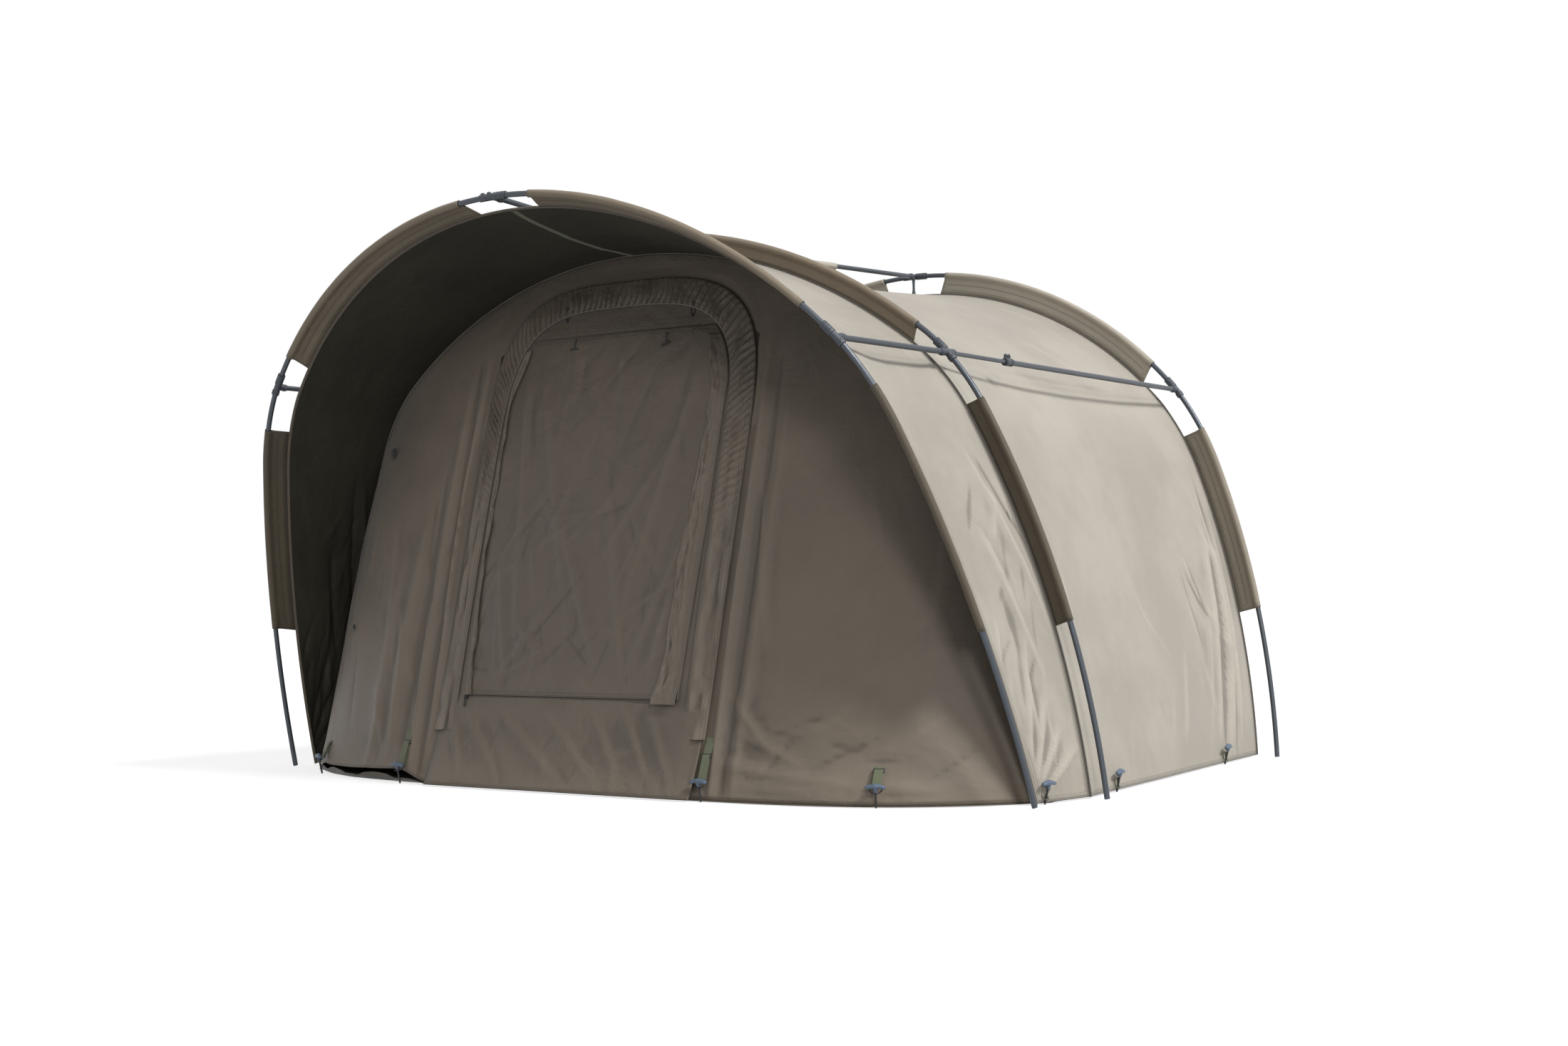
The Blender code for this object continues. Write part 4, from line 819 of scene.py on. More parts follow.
# Settings shown in the sidebar
def colour_setting(name, about, value):
    """A colour that the sidebar shows."""
    return bpy.props.FloatVectorProperty(
        name=name, description=about, subtype="COLOR", size=3, min=0, max=1, default=value
    )


def size_setting(name, about, value, low, high):
    """A length that the sidebar shows, with its limits."""
    return bpy.props.FloatProperty(
        name=name, description=about, default=value, min=low, max=high, unit="LENGTH", subtype="DISTANCE"
    )


class TentColours(bpy.types.PropertyGroup):
    """Colours of the tent's finishes."""

    shell: colour_setting("Shell", "Outside of the canopies and sides", (0.345, 0.313, 0.268))
    # The front cloth's colour is darker than the shell's, partly as its own tone and partly as painted shade from the
    # hood
    front: colour_setting("Front", "Front wall, door and window cover", (0.160, 0.131, 0.101))
    sleeve: colour_setting("Sleeves", "Upper sleeves of the front and middle arches", (0.210, 0.172, 0.124))
    # Lower sleeves: a copy of the sleeve cloth darkened as painted shade
    sleeve_low: colour_setting("Lower sleeves", "Lower sleeves of those arches", (0.088, 0.070, 0.047))
    # Lower rear sleeves: a copy of the sleeve cloth lightened as painted light
    sleeve_rear: colour_setting("Rear sleeves", "Lower sleeves of the rear arch", (0.265, 0.232, 0.182))
    # Upper rear sleeves and the ridge sleeve: a copy of the sleeve cloth lightened as a painted highlight
    sleeve_top: colour_setting("Top sleeves", "Upper rear sleeves and the ridge sleeve", (0.400, 0.362, 0.300))
    # The lining's colour is partly the coating's own dark tone and partly painted shade for the inside of the hood
    lining: colour_setting("Lining", "Coated inside of the cloth", (0.036, 0.033, 0.024))
    ground: colour_setting("Groundsheet", "Dark coated sheet", (0.050, 0.040, 0.030))
    webbing: colour_setting("Webbing", "Peg straps", (0.130, 0.145, 0.085))
    pole: colour_setting("Poles", "Alloy tubes", (0.062, 0.072, 0.086))
    fitting: colour_setting("Fittings", "Moulded joints, hubs and clamps", (0.045, 0.053, 0.066))
    peg: colour_setting("Peg heads", "Moulded peg heads", (0.085, 0.118, 0.172))
    dark: colour_setting("Dark metal", "Peg shafts, rings, toggles and zips", (0.022, 0.022, 0.022))


class TentSizes(bpy.types.PropertyGroup):
    """Sizes of the tent's finer details."""

    cloth: size_setting("Cloth", "Thickness of the cloth", 0.0009, 0.0003, 0.002)
    fold: size_setting("Fold depth", "Depth of the loose folds by the door", 0.010, 0.0, 0.02)
    gather: size_setting("Gather depth", "Depth of the storm flap's gathers", 0.0065, 0.0, 0.012)
    piping: size_setting("Piping", "Width of the seam tape under the poles", 0.006, 0.003, 0.009)


def sizes():
    """The sizes that the sidebar sets."""
    return bpy.context.scene.tent_sizes


COVER_LOOK = {"crinkle": 0.0016, "rough": 0.44, "drag": 0.0022, "shade": 0.34}

# Each finish: its maker, its material's name, its colour setting, the share of that colour, and options
FINISHES = {
    "shell": (cloth_finish, "shell_cloth", "shell", 1, {"crinkle": 0.0009, "rough": 0.60}),
    "front": (cloth_finish, "front_cloth", "front", 1, {"crinkle": 0.0010, "rough": 0.50, "shade": 0.48}),
    "cover": (cloth_finish, "cover_cloth", "front", 0.82, COVER_LOOK),
    "flap": (cloth_finish, "flap_cloth", "front", 1, {"crinkle": 0.0022, "rough": 0.40, "drag": 0.0040}),
    "sleeve": (cloth_finish, "sleeve_cloth", "sleeve", 1, {"crinkle": 0.0006, "rough": 0.60}),
    "sleeve_low": (cloth_finish, "sleeve_cloth_low", "sleeve_low", 1, {"crinkle": 0.0006, "rough": 0.56}),
    "sleeve_rear": (cloth_finish, "sleeve_cloth_rear", "sleeve_rear", 1, {"crinkle": 0.0006, "rough": 0.62}),
    "sleeve_top": (cloth_finish, "sleeve_cloth_top", "sleeve_top", 1, {"crinkle": 0.0006, "rough": 0.62}),
    "front_tape": (webbing_finish, "front_tape", "sleeve", 0.6, {}),
    "middle_tape": (webbing_finish, "middle_tape", "shell", 0.42, {}),
    "rear_tape": (webbing_finish, "rear_tape", "shell", 0.50, {}),
    "lining": (lining_finish, "lining_cloth", "lining", 1, {}),
    "ground": (cloth_finish, "groundsheet_cloth", "ground", 1, {"crinkle": 0.0025, "rough": 0.5, "dust": 0.6}),
    "webbing": (webbing_finish, "olive_webbing", "webbing", 1, {}),
    "pole": (metal_finish, "gunmetal_tube", "pole", 1, {"rough": 0.36}),
    "fitting": (moulded_finish, "moulded_fitting", "fitting", 1, {"rough": 0.42}),
    "clamp": (moulded_finish, "clamp_plastic", "fitting", 0.7, {"rough": 0.40}),
    "peg": (moulded_finish, "peg_plastic", "peg", 1, {"rough": 0.38}),
    "dark": (metal_finish, "dark_metal", "dark", 1, {"rough": 0.4}),
    "zip": (moulded_finish, "zip_tape", "front", 0.42, {"rough": 0.6}),
    "cord": (webbing_finish, "loop_elastic", "dark", 1, {}),
}
MADE = {}


def finish_for(key):
    """The material of a finish, made once."""
    if key not in MADE:
        maker, name, setting, share, options = FINISHES[key]
        colour = getattr(bpy.context.scene.tent_colours, setting)
        MADE[key] = maker(name, tuple(share * c for c in colour), **options)
    return MADE[key]


# Cloth pieces
def even_marks(count, line=None):
    """Seam marks from one hem to the other at even lengths along the middle arch."""
    line = line or LINES["middle"]
    marks = np.linspace(-HALF, HALF, 2001)
    return np.interp(np.linspace(-line.hem, line.hem, count), line.place(marks), marks)


def canopy_relief(points, share, place, lines, seed):
    """How far a canopy's cloth stands in or out: broad slack, small crumples, and its own drawn creases."""
    across = share * 1.2
    calm = grown(8 * share * (1 - share))
    relief = 0.0030 * noise(across, place, 0.42, seed) + 0.0009 * noise(across, place, 0.11, seed + 1)
    relief = relief * calm + 1.5 * creases(points[..., 1], points[..., 2], lines["side"])
    return relief + np.where(np.abs(points[..., 0]) < 0.9, creases(across, place, lines["roof"]), 0)


HOOD_CREASES = {
    "side": [
        (-0.24, 0.98, -0.06, 0.40, 0.016, 0.008),
        (-0.19, 0.94, -0.02, 0.52, 0.013, -0.007),
        (-0.28, 0.74, -0.14, 0.32, 0.015, 0.008),
        (-0.25, 0.60, -0.17, 0.20, 0.013, -0.006),
        (-0.21, 0.50, -0.20, 0.15, 0.013, 0.006),
        (-0.25, 0.02, -0.15, 0.28, 0.012, 0.009),
        (-0.24, 0.02, -0.10, 0.20, 0.012, 0.009),
        (-0.22, 0.01, -0.03, 0.15, 0.011, 0.008),
        (-0.26, 0.03, -0.21, 0.34, 0.011, 0.007),
    ]
    + scattered(31, 26, (-0.32, 0.12, -0.12, 0.80), radians(80), 0.35, 0.22, 0.006, 0.0028),
    "roof": scattered(33, 22, (0.1, -1.2, 1.1, 1.2), radians(10), 0.5, 0.5, 0.012, 0.0016),
}
MAIN_CREASES = {
    "side": [
        (1.300, 0.92, 1.220, 0.00, 0.055, 0.014),
        (1.400, 0.95, 1.290, 0.02, 0.012, 0.009),
        (1.372, 0.98, 1.245, 0.00, 0.014, -0.013),
        (1.342, 0.92, 1.195, 0.03, 0.014, 0.011),
        (1.305, 0.80, 1.145, 0.02, 0.014, -0.010),
        (1.265, 0.72, 1.090, 0.04, 0.016, 0.008),
        (1.20, 0.60, 1.02, 0.05, 0.018, 0.004),
        (0.92, 0.40, 0.78, 0.05, 0.020, 0.003),
        (0.10, 0.66, 0.04, 0.20, 0.012, 0.004),
        (0.03, 1.23, 1.44, 1.19, 0.030, -0.006),
    ]
    + scattered(41, 22, (0.9, 0.05, 1.4, 0.7), radians(105), 0.25, 0.35, 0.009, 0.0030)
    + scattered(42, 16, (0.1, 0.05, 0.9, 1.1), radians(95), 0.6, 0.35, 0.012, 0.0014),
    "roof": scattered(44, 26, (0.05, -1.2, 1.15, 1.2), radians(85), 0.6, 0.5, 0.014, 0.0018),
}


# How much closer a canopy's grid rows lie at the arches, and how far its edges are tucked to the tapes
DENSER_ENDS = 0.06
TUCK = 0.0022


def canopy_cloth(key, share, marks, sunk=0.0):
    """Points of a canopy's cloth with its folds, or of a layer sunk below it."""
    lines, seed = (HOOD_CREASES, 21) if key == "front" else (MAIN_CREASES, 22)
    points, out = canopy(BAYS[key], share, marks, 0.0, TUCK)
    place = LINES["middle"].place(marks) + 0 * share
    ends = grown(12 * share * (1 - share))
    relief = ends * canopy_relief(points, share, place, lines, seed) - sunk
    points = points + out * relief[..., None]
    points[..., 2] = np.maximum(points[..., 2], HEM_HEIGHT)
    return points, place


def make_canopy(name, key, node, rows, columns):
    """The hood or the main canopy, from hem to hem over the roof."""
    even = np.linspace(0, 1, rows)[:, None]
    share = even - DENSER_ENDS * np.sin(2 * pi * even)
    points, place = canopy_cloth(key, share, even_marks(columns)[None, :])
    reach = np.linalg.norm(points[-1] - points[0], axis=-1)
    hem = np.minimum(place - place[:, :1], place[:, -1:] - place)
    seam = np.minimum(np.minimum(share, 1 - share) * reach, hem)
    obj = sewn(name, points, "shell lining", [node], slot="shell", seam=seam, run=place + 5, outside=INSIDE)
    cut_as(points)


BACK_CREASES = scattered(53, 30, (-1.1, 0.1, 1.1, 1.3), radians(88), 0.2, 0.9, 0.022, 0.0022)


def make_back_wall():
    """The plain wall under the rear arch, its columns closer together at the corners."""
    share = np.linspace(0, 1, 70)[:, None]
    x = np.linspace(-1, 1, 241)[None, :]
    half = BACK_WALL.foot[0]
    x = np.sin(x * pi / 2) * half * 0.35 + x * half * 0.65
    top_y, top_z = BACK_WALL.top(x)
    z = HEM_HEIGHT + (top_z - HEM_HEIGHT) * share
    y = BACK_WALL.hem_y(x) * (1 - share) + top_y * share
    x = x + 0 * share
    calm = grown(10 * share * (1 - share))
    y = y + calm * (0.006 * noise(x, z, 0.35, 51) + 0.0012 * noise(x, z, 0.1, 52))
    y = y + calm * creases(x, z, BACK_CREASES)
    points = np.stack([x, y, z], -1)
    marks = {"seam": np.minimum((1 - share) * top_z, share * top_z), "run": x + 3, "outside": INSIDE}
    obj = sewn("back_wall", points, "shell lining", ["back_panel"], slot="shell", **marks)
    cut_as(points)


LEFT_PLEATS = [
    (-0.556, 1.34, -0.523, 0.03, 0.015, 0.024),
    (-0.595, 1.34, -0.560, -0.10, 0.012, -0.012),
    (-0.630, 1.28, -0.600, -0.10, 0.014, 0.013),
    (-0.535, 1.15, -0.500, 0.10, 0.010, -0.008),
    (-0.67, 0.98, -0.655, 0.05, 0.016, -0.011),
    (-0.73, 0.85, -0.71, 0.02, 0.022, 0.012),
    (-0.82, 0.75, -0.80, 0.02, 0.026, 0.008),
]
RIGHT_PLEATS = [
    (0.545, 1.36, 0.545, -0.10, 0.013, 0.010),
    (0.584, 1.28, 0.580, -0.10, 0.012, -0.007),
    (0.625, 1.15, 0.615, -0.10, 0.016, 0.006),
    (0.545, 1.05, 0.66, 0.40, 0.012, 0.005),
    (0.55, 0.10, 1.00, 0.06, 0.012, 0.005),
    (0.62, 0.19, 0.84, 0.10, 0.010, 0.004),
    (0.56, 0.30, 0.72, 0.14, 0.009, 0.004),
    (0.96, 0.05, 1.22, 0.045, 0.010, 0.005),
    (0.60, 0.05, 0.95, 0.035, 0.008, 0.004),
]


# How much of each set of folds the front wall shows
WALL_FOLDS = [
    (1.6, LEFT_PLEATS),
    (2.0, RIGHT_PLEATS),
    (2.2, scattered(63, 26, (0.55, 0.03, 1.2, 0.22), radians(5), 0.35, 0.25, 0.007, 0.0022)),
    (1.9, scattered(64, 20, (0.6, 0.2, 1.2, 0.9), radians(80), 0.5, 0.35, 0.012, 0.0012)),
    (2.2, scattered(65, 30, (-1.2, 0.03, -0.55, 0.9), radians(95), 0.3, 0.4, 0.010, 0.0030)),
    (1.0, scattered(66, 16, (-0.5, 1.46, 0.5, 1.58), radians(20), 0.8, 0.12, 0.006, 0.0018)),
]

# The wall lies flat so far beside the door's lap, and its folds grow over so much more. The left part of
# the hem is raised, up to a height where its lift has faded
FLAT_MARGIN = 0.012
FOLD_EDGE = 0.03
RAISED_HEM = 0.034
RAISED_HEM_TOP = 0.13
RAISED_EDGE = (-1.22, -0.50)


def wall_relief(x, z):
    """How far the front wall stands forward of its plain form."""
    relief = 0.004 * noise(x, z, 0.40, 61) + 0.0012 * noise(x, z, 0.09, 62)
    return relief + sum(share * creases(x, z, lines) for share, lines in WALL_FOLDS)


def wall_points(x, z):
    """Points of the finished front wall, flat behind the door so that the door's cloth lies clear of it."""
    beside = np.abs(x) - DOORWAY_HALF_WIDTH - DOOR_LAP - FLAT_MARGIN
    above = z - doorway_top(x, DOOR_LAP + FLAT_MARGIN)
    calm = grown(np.maximum(beside, above), FOLD_EDGE)
    top_z = FRONT_WALL.top(x)[1]
    calm = calm * grown(top_z - z, 0.05) * grown(z, 0.03)
    return np.stack([x, FRONT_WALL.y_at(x, z) - calm * wall_relief(x, z), z], -1)


def hem_rise(x):
    """How high the left part of the front hem hangs clear of the ground."""
    return RAISED_HEM * within(x, *RAISED_EDGE, 0.14) * (1 + 0.5 * noise(x, 0 * x, 0.13, 67))


def make_front_wall():
    """The bowed wall round the doorway: rows run out from the doorway's edge to the seam and the hem."""
    outline, edge = doorway_outline(), FRONT_WALL.edge[:, [0, 2]]
    inner_lengths, edge_lengths = lengths_of(outline), lengths_of(edge)
    share = np.linspace(0, 1, 150)
    inner = at_length(outline, inner_lengths, share * inner_lengths[-1])
    outer = at_length(edge, edge_lengths, share * edge_lengths[-1])
    outer_y = np.interp(share * edge_lengths[-1], edge_lengths, FRONT_WALL.edge[:, 1])
    step = np.linspace(0, 1, 124)[None, :] ** 1.25
    flat = inner[:, None] + (outer - inner)[:, None] * step[..., None]
    half_run = share[:, None] * edge_lengths[-1] + 0 * step
    gap = np.linalg.norm(outer - inner, axis=1)[:, None] * np.minimum(step, 1 - step)
    rows = []
    for sign in (-1, 1):
        points = wall_points(sign * flat[..., 0], flat[..., 1])
        points[:, -1, 1] = outer_y
        rows.append(points[::-1] if sign < 0 else points[1:])
    points = np.concatenate(rows)
    points[..., 2] += hem_rise(points[..., 0]) * grown(1 - points[..., 2] / RAISED_HEM_TOP)
    low = np.minimum(gap, flat[..., 1])
    seam = np.concatenate([low[::-1], low[1:]])
    run = np.concatenate([half_run[::-1], half_run[1:]])
    marks = {"seam": seam, "run": run + 5, "outside": BEHIND_DOOR, "uv": points[..., [0, 2]] + 2.0}
    obj = sewn("front_wall", points, "front lining", ["front_panel"], offset=0.0, **marks)
    area = area_of(points)[0]


def make_door():
    """The zipped door cloth behind the window cover, with its window opening and loose apron."""
    half = DOORWAY_HALF_WIDTH + DOOR_LAP
    across = np.linspace(-1, 1, 121)[None, :]
    low, high = WINDOW_BOTTOM_HEIGHT + WINDOW_LAP, WINDOW_TOP_HEIGHT - WINDOW_LAP
    z_low = np.linspace(HEM_HEIGHT, high, 130)[:, None] + 0 * across
    rise = np.linspace(0, 1, 36)[1:, None]
    start = max(DOORWAY_SPRING_HEIGHT, high)
    z_top = start + (doorway_top(across * half, DOOR_LAP) - start) * rise
    z = np.concatenate([z_low, z_top])
    side = doorway_side(z, DOOR_LAP)
    x = across * np.where(np.arange(len(z))[:, None] < len(z_low), np.minimum(side, half), half)
    apron = grown(WINDOW_BOTTOM_HEIGHT - z, 0.05) * grown(z, 0.02)
    edge = grown(half - np.abs(x), 0.05)
    ruffle = 0.0035 * noise(x, z, 0.16, 71) + creases(x, z, APRON_CREASES)
    upper = grown(z - WINDOW_TOP_HEIGHT, 0.03) * creases(x, z, HEADER_CREASES)
    relief = np.maximum(apron * edge * (0.005 + 1.4 * ruffle), -0.0005) + 0.7 * np.abs(upper)
    points = door_points(x, z, 1, relief)
    cell_x, cell_z = (x[:-1, :-1] + x[1:, 1:]) / 2, (z[:-1, :-1] + z[1:, 1:]) / 2
    opening = WINDOW_TOP_HALF_WIDTH - WINDOW_LAP
    skip = (np.abs(cell_x) < opening) & (cell_z > low) & (cell_z < high)
    seam = np.minimum(np.minimum(np.abs(side - np.abs(x)), z), np.abs(z - WINDOW_TOP_HEIGHT - 0.02) + 0.006)
    marks = {"seam": seam, "run": x + z + 2, "outside": BEHIND_DOOR, "uv": np.stack([x, z], -1) + 2.0}
    obj = sewn("door_cloth", points, "cover lining", ["door_panel"], "door", offset=0.0, skip=skip, **marks)


APRON_CREASES = [
    (-0.40, 0.24, -0.20, 0.02, 0.010, 0.006),
    (-0.30, 0.26, 0.02, 0.03, 0.010, 0.006),
    (-0.10, 0.25, 0.16, 0.03, 0.010, 0.005),
    (0.10, 0.24, 0.24, 0.04, 0.009, 0.006),
    (0.20, 0.26, 0.36, 0.03, 0.008, 0.007),
    (0.30, 0.25, 0.42, 0.05, 0.008, 0.007),
    (-0.44, 0.20, -0.36, 0.02, 0.008, 0.008),
] + scattered(72, 30, (-0.45, 0.03, 0.45, 0.25), radians(115), 0.5, 0.16, 0.006, 0.003)
HEADER_CREASES = scattered(73, 24, (-0.4, 1.36, 0.4, 1.46), radians(90), 0.5, 0.08, 0.005, 0.003)


def flap_inner_half(z):
    """Half the width between the storm flap's inner edges at a height."""
    return doorway_side(z, DOOR_LAP + FLAP_OVERHANG - FLAP_WIDTH)


def cover_half(z):
    """Half the window cover's width: up to the storm flap, and in to the zip's corners at the bottom."""
    level = grown(z - WINDOW_BOTTOM_HEIGHT, 0.5)
    return np.minimum(WINDOW_BOTTOM_HALF_WIDTH + 0.018 * level, flap_inner_half(z) - 0.004)


COVER_CREASES = [
    (-0.36, 1.30, -0.20, 0.30, 0.012, 0.004),
    (-0.30, 1.30, -0.02, 0.45, 0.012, 0.004),
    (0.34, 1.30, 0.14, 0.40, 0.012, 0.004),
    (0.38, 0.80, 0.20, 0.32, 0.010, 0.005),
    (0.30, 1.05, 0.02, 0.60, 0.014, 0.003),
    (0.05, 0.90, 0.20, 0.30, 0.010, 0.004),
    (-0.12, 0.80, 0.10, 0.34, 0.010, 0.004),
    (-0.34, 0.70, -0.24, 0.30, 0.010, 0.004),
    (0.34, 0.62, 0.28, 0.30, 0.008, 0.005),
    (-0.10, 0.55, -0.30, 0.30, 0.009, 0.003),
]
COVER_CREASES += scattered(81, 60, (-0.38, 0.30, 0.38, 0.85), radians(70), 0.7, 0.28, 0.007, 0.0026)
COVER_CREASES += scattered(82, 36, (-0.36, 0.8, 0.36, 1.3), radians(88), 0.35, 0.40, 0.012, 0.0018)


def cover_relief(x, z):
    """How far the window cover stands off its plain form."""
    half = cover_half(z)
    calm = grown(half - np.abs(x), 0.03) * within(z, WINDOW_BOTTOM_HEIGHT, WINDOW_TOP_HEIGHT, 0.03)
    relief = 0.004 + 0.0035 * noise(x, z, 0.22, 83) + 2.1 * creases(x, z, COVER_CREASES)
    return calm * np.maximum(relief, -0.0005)


def make_window_cover():
    """The loose cloth over the door's window, held by its zip and the storm flap."""
    z = np.linspace(WINDOW_BOTTOM_HEIGHT, WINDOW_TOP_HEIGHT, 190)[:, None]
    x = np.linspace(-1, 1, 130)[None, :] * cover_half(z)
    z = z + 0 * x
    points = door_points(x, z, 2, cover_relief(x, z))
    seam = np.minimum(WINDOW_TOP_HEIGHT - z, z - WINDOW_BOTTOM_HEIGHT + 0.002)
    seam = np.minimum(seam, cover_half(z) - np.abs(x) + 0.001)
    name, marks = "window_cover", {"seam": seam, "run": x + z + 2, "uv": np.stack([x, z], -1) + 2.0}
    obj = sewn(f"{name}_cloth", points, "cover lining", [name], name, offset=0.0, outside=BEHIND_DOOR, **marks)
    cut_as(points)


# The right flap's foot stands so far clear of the zip slider, up to a height
ZIP_CLEARANCE = 0.010
ZIP_CLEARANCE_TOP = 0.315
ZIP_FLAP_EDGES = {
    "left": ([0.24, 0.283, 0.563, 0.85, 1.143, 1.33], [0.380, 0.372, 0.392, 0.398, 0.398, 0.340]),
    "right": ([0.24, 0.283, 0.405, 0.647, 0.869, 1.141, 1.33], [0.318, 0.325, 0.344, 0.349, 0.369, 0.380, 0.330]),
}


def make_zip_flaps():
    """The loose strips of cloth down both sides of the window cover, over its zip."""
    for name, side in SIDES.items():
        bottom = WINDOW_BOTTOM_HEIGHT - 0.012 if side > 0 else WINDOW_BOTTOM_HEIGHT
        z = np.linspace(bottom, WINDOW_TOP_HEIGHT - 0.03, 240)[:, None]
        share = np.linspace(0, 1, 26)[None, :]
        inner = np.interp(z, *ZIP_FLAP_EDGES[name])
        outer = cover_half(np.maximum(z, WINDOW_BOTTOM_HEIGHT)) - 0.001
        inner = np.minimum(inner, outer - 0.012)
        inner = inner + 0.004 * noise(z, 0 * z, 0.07, 91 + side)
        x = outer + (inner - outer) * share
        z = z + 0 * share
        lift = share**1.4 * (1 - 0.6 * share**3)
        curl = 0.008 + 0.006 * noise(z, share, 0.11, 92 + side) + 0.004 * noise(z, share, 0.035, 94 + side)
        crumple = 0.003 * noise(x * 1.5, z, 0.03, 96 + side)
        relief = 0.0025 + cover_relief(side * x, z) + sizes().fold * 1.08 * lift * curl / 0.008 + 2 * crumple * lift
        relief = relief + (ZIP_CLEARANCE if side > 0 else 0) * grown(ZIP_CLEARANCE_TOP - z, 0.04)
        points = door_points(side * x, z, 2, relief)
        marks = {"seam": share * 0.08 + 0.001, "run": z, "outside": BEHIND_DOOR}
        obj = sewn(f"window_zip_flap_{name}", points, "flap", (), "window_cover", offset=0.0, **marks)
        cut_as(points)


# From one gather of the storm flap to the next
GATHER_PITCH = 0.024


def make_storm_flap():
    """The gathered flap round the door's zip, an inverted U in front of the door's edges."""
    outer = doorway_outline(DOOR_LAP + FLAP_OVERHANG)
    inner = doorway_outline(DOOR_LAP + FLAP_OVERHANG - FLAP_WIDTH)
    count = 1400
    line_share = np.abs(np.linspace(-1, 1, count))
    sign = np.where(np.arange(count) < count / 2, -1.0, 1.0)
    places = []
    for outline in (outer, inner):
        lengths = lengths_of(outline)
        places.append(at_length(outline, lengths, line_share * (lengths[-1] - FLAP_RISE)))
    share = np.linspace(0, 1, 18)[None, :]
    flat = places[0][:, None] + (places[1] - places[0])[:, None] * share[..., None]
    x, z = sign[:, None] * flat[..., 0], flat[..., 1]
    run = lengths_of(places[0] * np.stack([sign, sign * 0 + 1], 1))[:, None] + 0 * share
    over_top = grown(z[:, :1] - 0.75, 0.45)
    pitch = run + 0.010 * noise(run, share * 0.1, 0.06, 101) + share * 0.012
    gathers = (1 - np.abs(np.sin(pi * pitch / GATHER_PITCH))) ** 1.3
    gathers = gathers * (0.75 + 0.5 * noise(run, share * 0.02, 0.04, 102))
    gathers = gathers * np.sin(pi * grown(share * 1.02)) ** 0.6
    side_folds = np.maximum(0, noise(x * 3, z, 0.045, 103) * 0.5 + 0.6 * noise(x * 6, z * 0.5, 0.10, 104) + 0.35)
    side_folds = side_folds * np.sin(pi * share) ** 0.8
    relief = 0.001 + sizes().gather * (2.5 * gathers * over_top + 2.4 * side_folds * (1 - over_top))
    points = door_points(x, z, 2, relief)
    seam = np.minimum(share, 1 - share) * FLAP_WIDTH
    marks = {"seam": seam, "run": run, "outside": BEHIND_DOOR}
    obj = sewn("storm_flap", points, "flap", ["door_storm_flap"], "door", offset=0.0, **marks)
    area_of(points)[2]


# Pole sleeves and the tape under them
def sleeve_outline(bore, web, half):
    """A sleeve's section as outward and sideways places: up one side, round the pole and down the other."""
    turn = np.radians(np.linspace(158, -158, 19))
    neck = bore * 1.9
    first = [(-web, half), (-web * 0.6 - neck * 0.4, half), (-neck, half)]
    around = [(bore * cos(a), bore * sin(a)) for a in turn]
    last = [(-neck, -half), (-web * 0.6 - neck * 0.4, -half), (-web, -half)]
    return np.array(first + around + last)


def face_out(piece, points, axis):
    """Turns a sleeve's faces outward, judged by the part that wraps its pole."""
    crown = slice(8, 17)
    if (facing_of(points)[:, crown] * (points - axis)[:, crown]).sum() < 0:
        bmesh.ops.reverse_faces(piece.bm, faces=piece.bm.faces)


# Shares of the slant at a sleeve's near and far end, for the upper and the lower ones
SLEEVE_SLANTS = ((1, 1), (0.5, 0.2))
SLEEVE_NAMES = {(0, -1): "upper_left", (0, 1): "upper_right", (1, -1): "lower_left", (1, 1): "lower_right"}


def make_pole_sleeves():
    """The cloth sleeves that hold the poles, each closed round its pole and sewn to the seam tape."""
    for key, line in LINES.items():
        joint = line.arch.joint
        web = line.arch.web - BINDING_DEPTH / 2
        outline = sleeve_outline(SLEEVE_BORE, web, SLEEVE_HALF_SEAM)
        depth = grown(-outline[:, 0], web)
        runs = [(CROWN_CUT, joint - UPPER_SLEEVE_GAP), (joint + LOWER_SLEEVE_GAP, line.length - LOWER_SLEEVE_RISE)]
        for (index, sign), label in SLEEVE_NAMES.items():
            start, end = runs[index]
            slants = SLEEVE_SLANTS[index]
            near, far = start - SLEEVE_SLANT * depth * slants[0], end + SLEEVE_SLANT * depth * slants[1]
            share = np.linspace(0, 1, int((end - start) / 0.011))[:, None]
            place = sign * (near + (far - near) * share)
            seed = 110 + index * 7 + sign + len(key)
            flank = np.sin(pi * grown(depth)) * np.abs(np.sign(outline[:, 1]))
            sway = 0.0040 * noise(place, 0 * place, 0.16, seed) + 0.0010 * noise(place, 0 * place, 0.035, seed + 1)
            pinch = 0.0006 * noise(place, 30 * outline[:, 1] + 0 * place, 0.05, seed + 2)
            back = outline[:, 1] + sway * flank * 0.7 + pinch
            centre = line.at(place)
            base, away, across = line.web_frame(place)
            out = (outline[:, 0] + 0 * place)[..., None]
            inward = (base - centre) * -out / line.arch.web
            points = centre + np.where(out < 0, inward, away * out) + across * back[..., None]
            run = np.abs(place)
            seam = np.minimum(np.abs(-outline[:, 0] - SLEEVE_BORE * 2.2) + 0.006, np.abs(web + outline[:, 0]) + 0.001)
            seam = np.minimum(seam + 0 * run, np.minimum(share, 1 - share) * (end - start))
            piece = Piece()
            piece.grid(points, seam=seam, run=run)
            face_out(piece, points, line.at(place[:, 0])[:, None])
            # The upper rear sleeves take the painted-highlight copy of the sleeve cloth, the lower rear ones the
            # painted-light copy, and the lower front and middle ones the painted-shade copy
            finish = (("sleeve_top", "sleeve_rear") if key == "rear" else ("sleeve", "sleeve_low"))[index]
            obj = piece.finish(f"{key}_sleeve_{label}", "frame", "sleeve", finish, (), SLEEVE_CLOTH, sharp=50)
            cut_as(points)


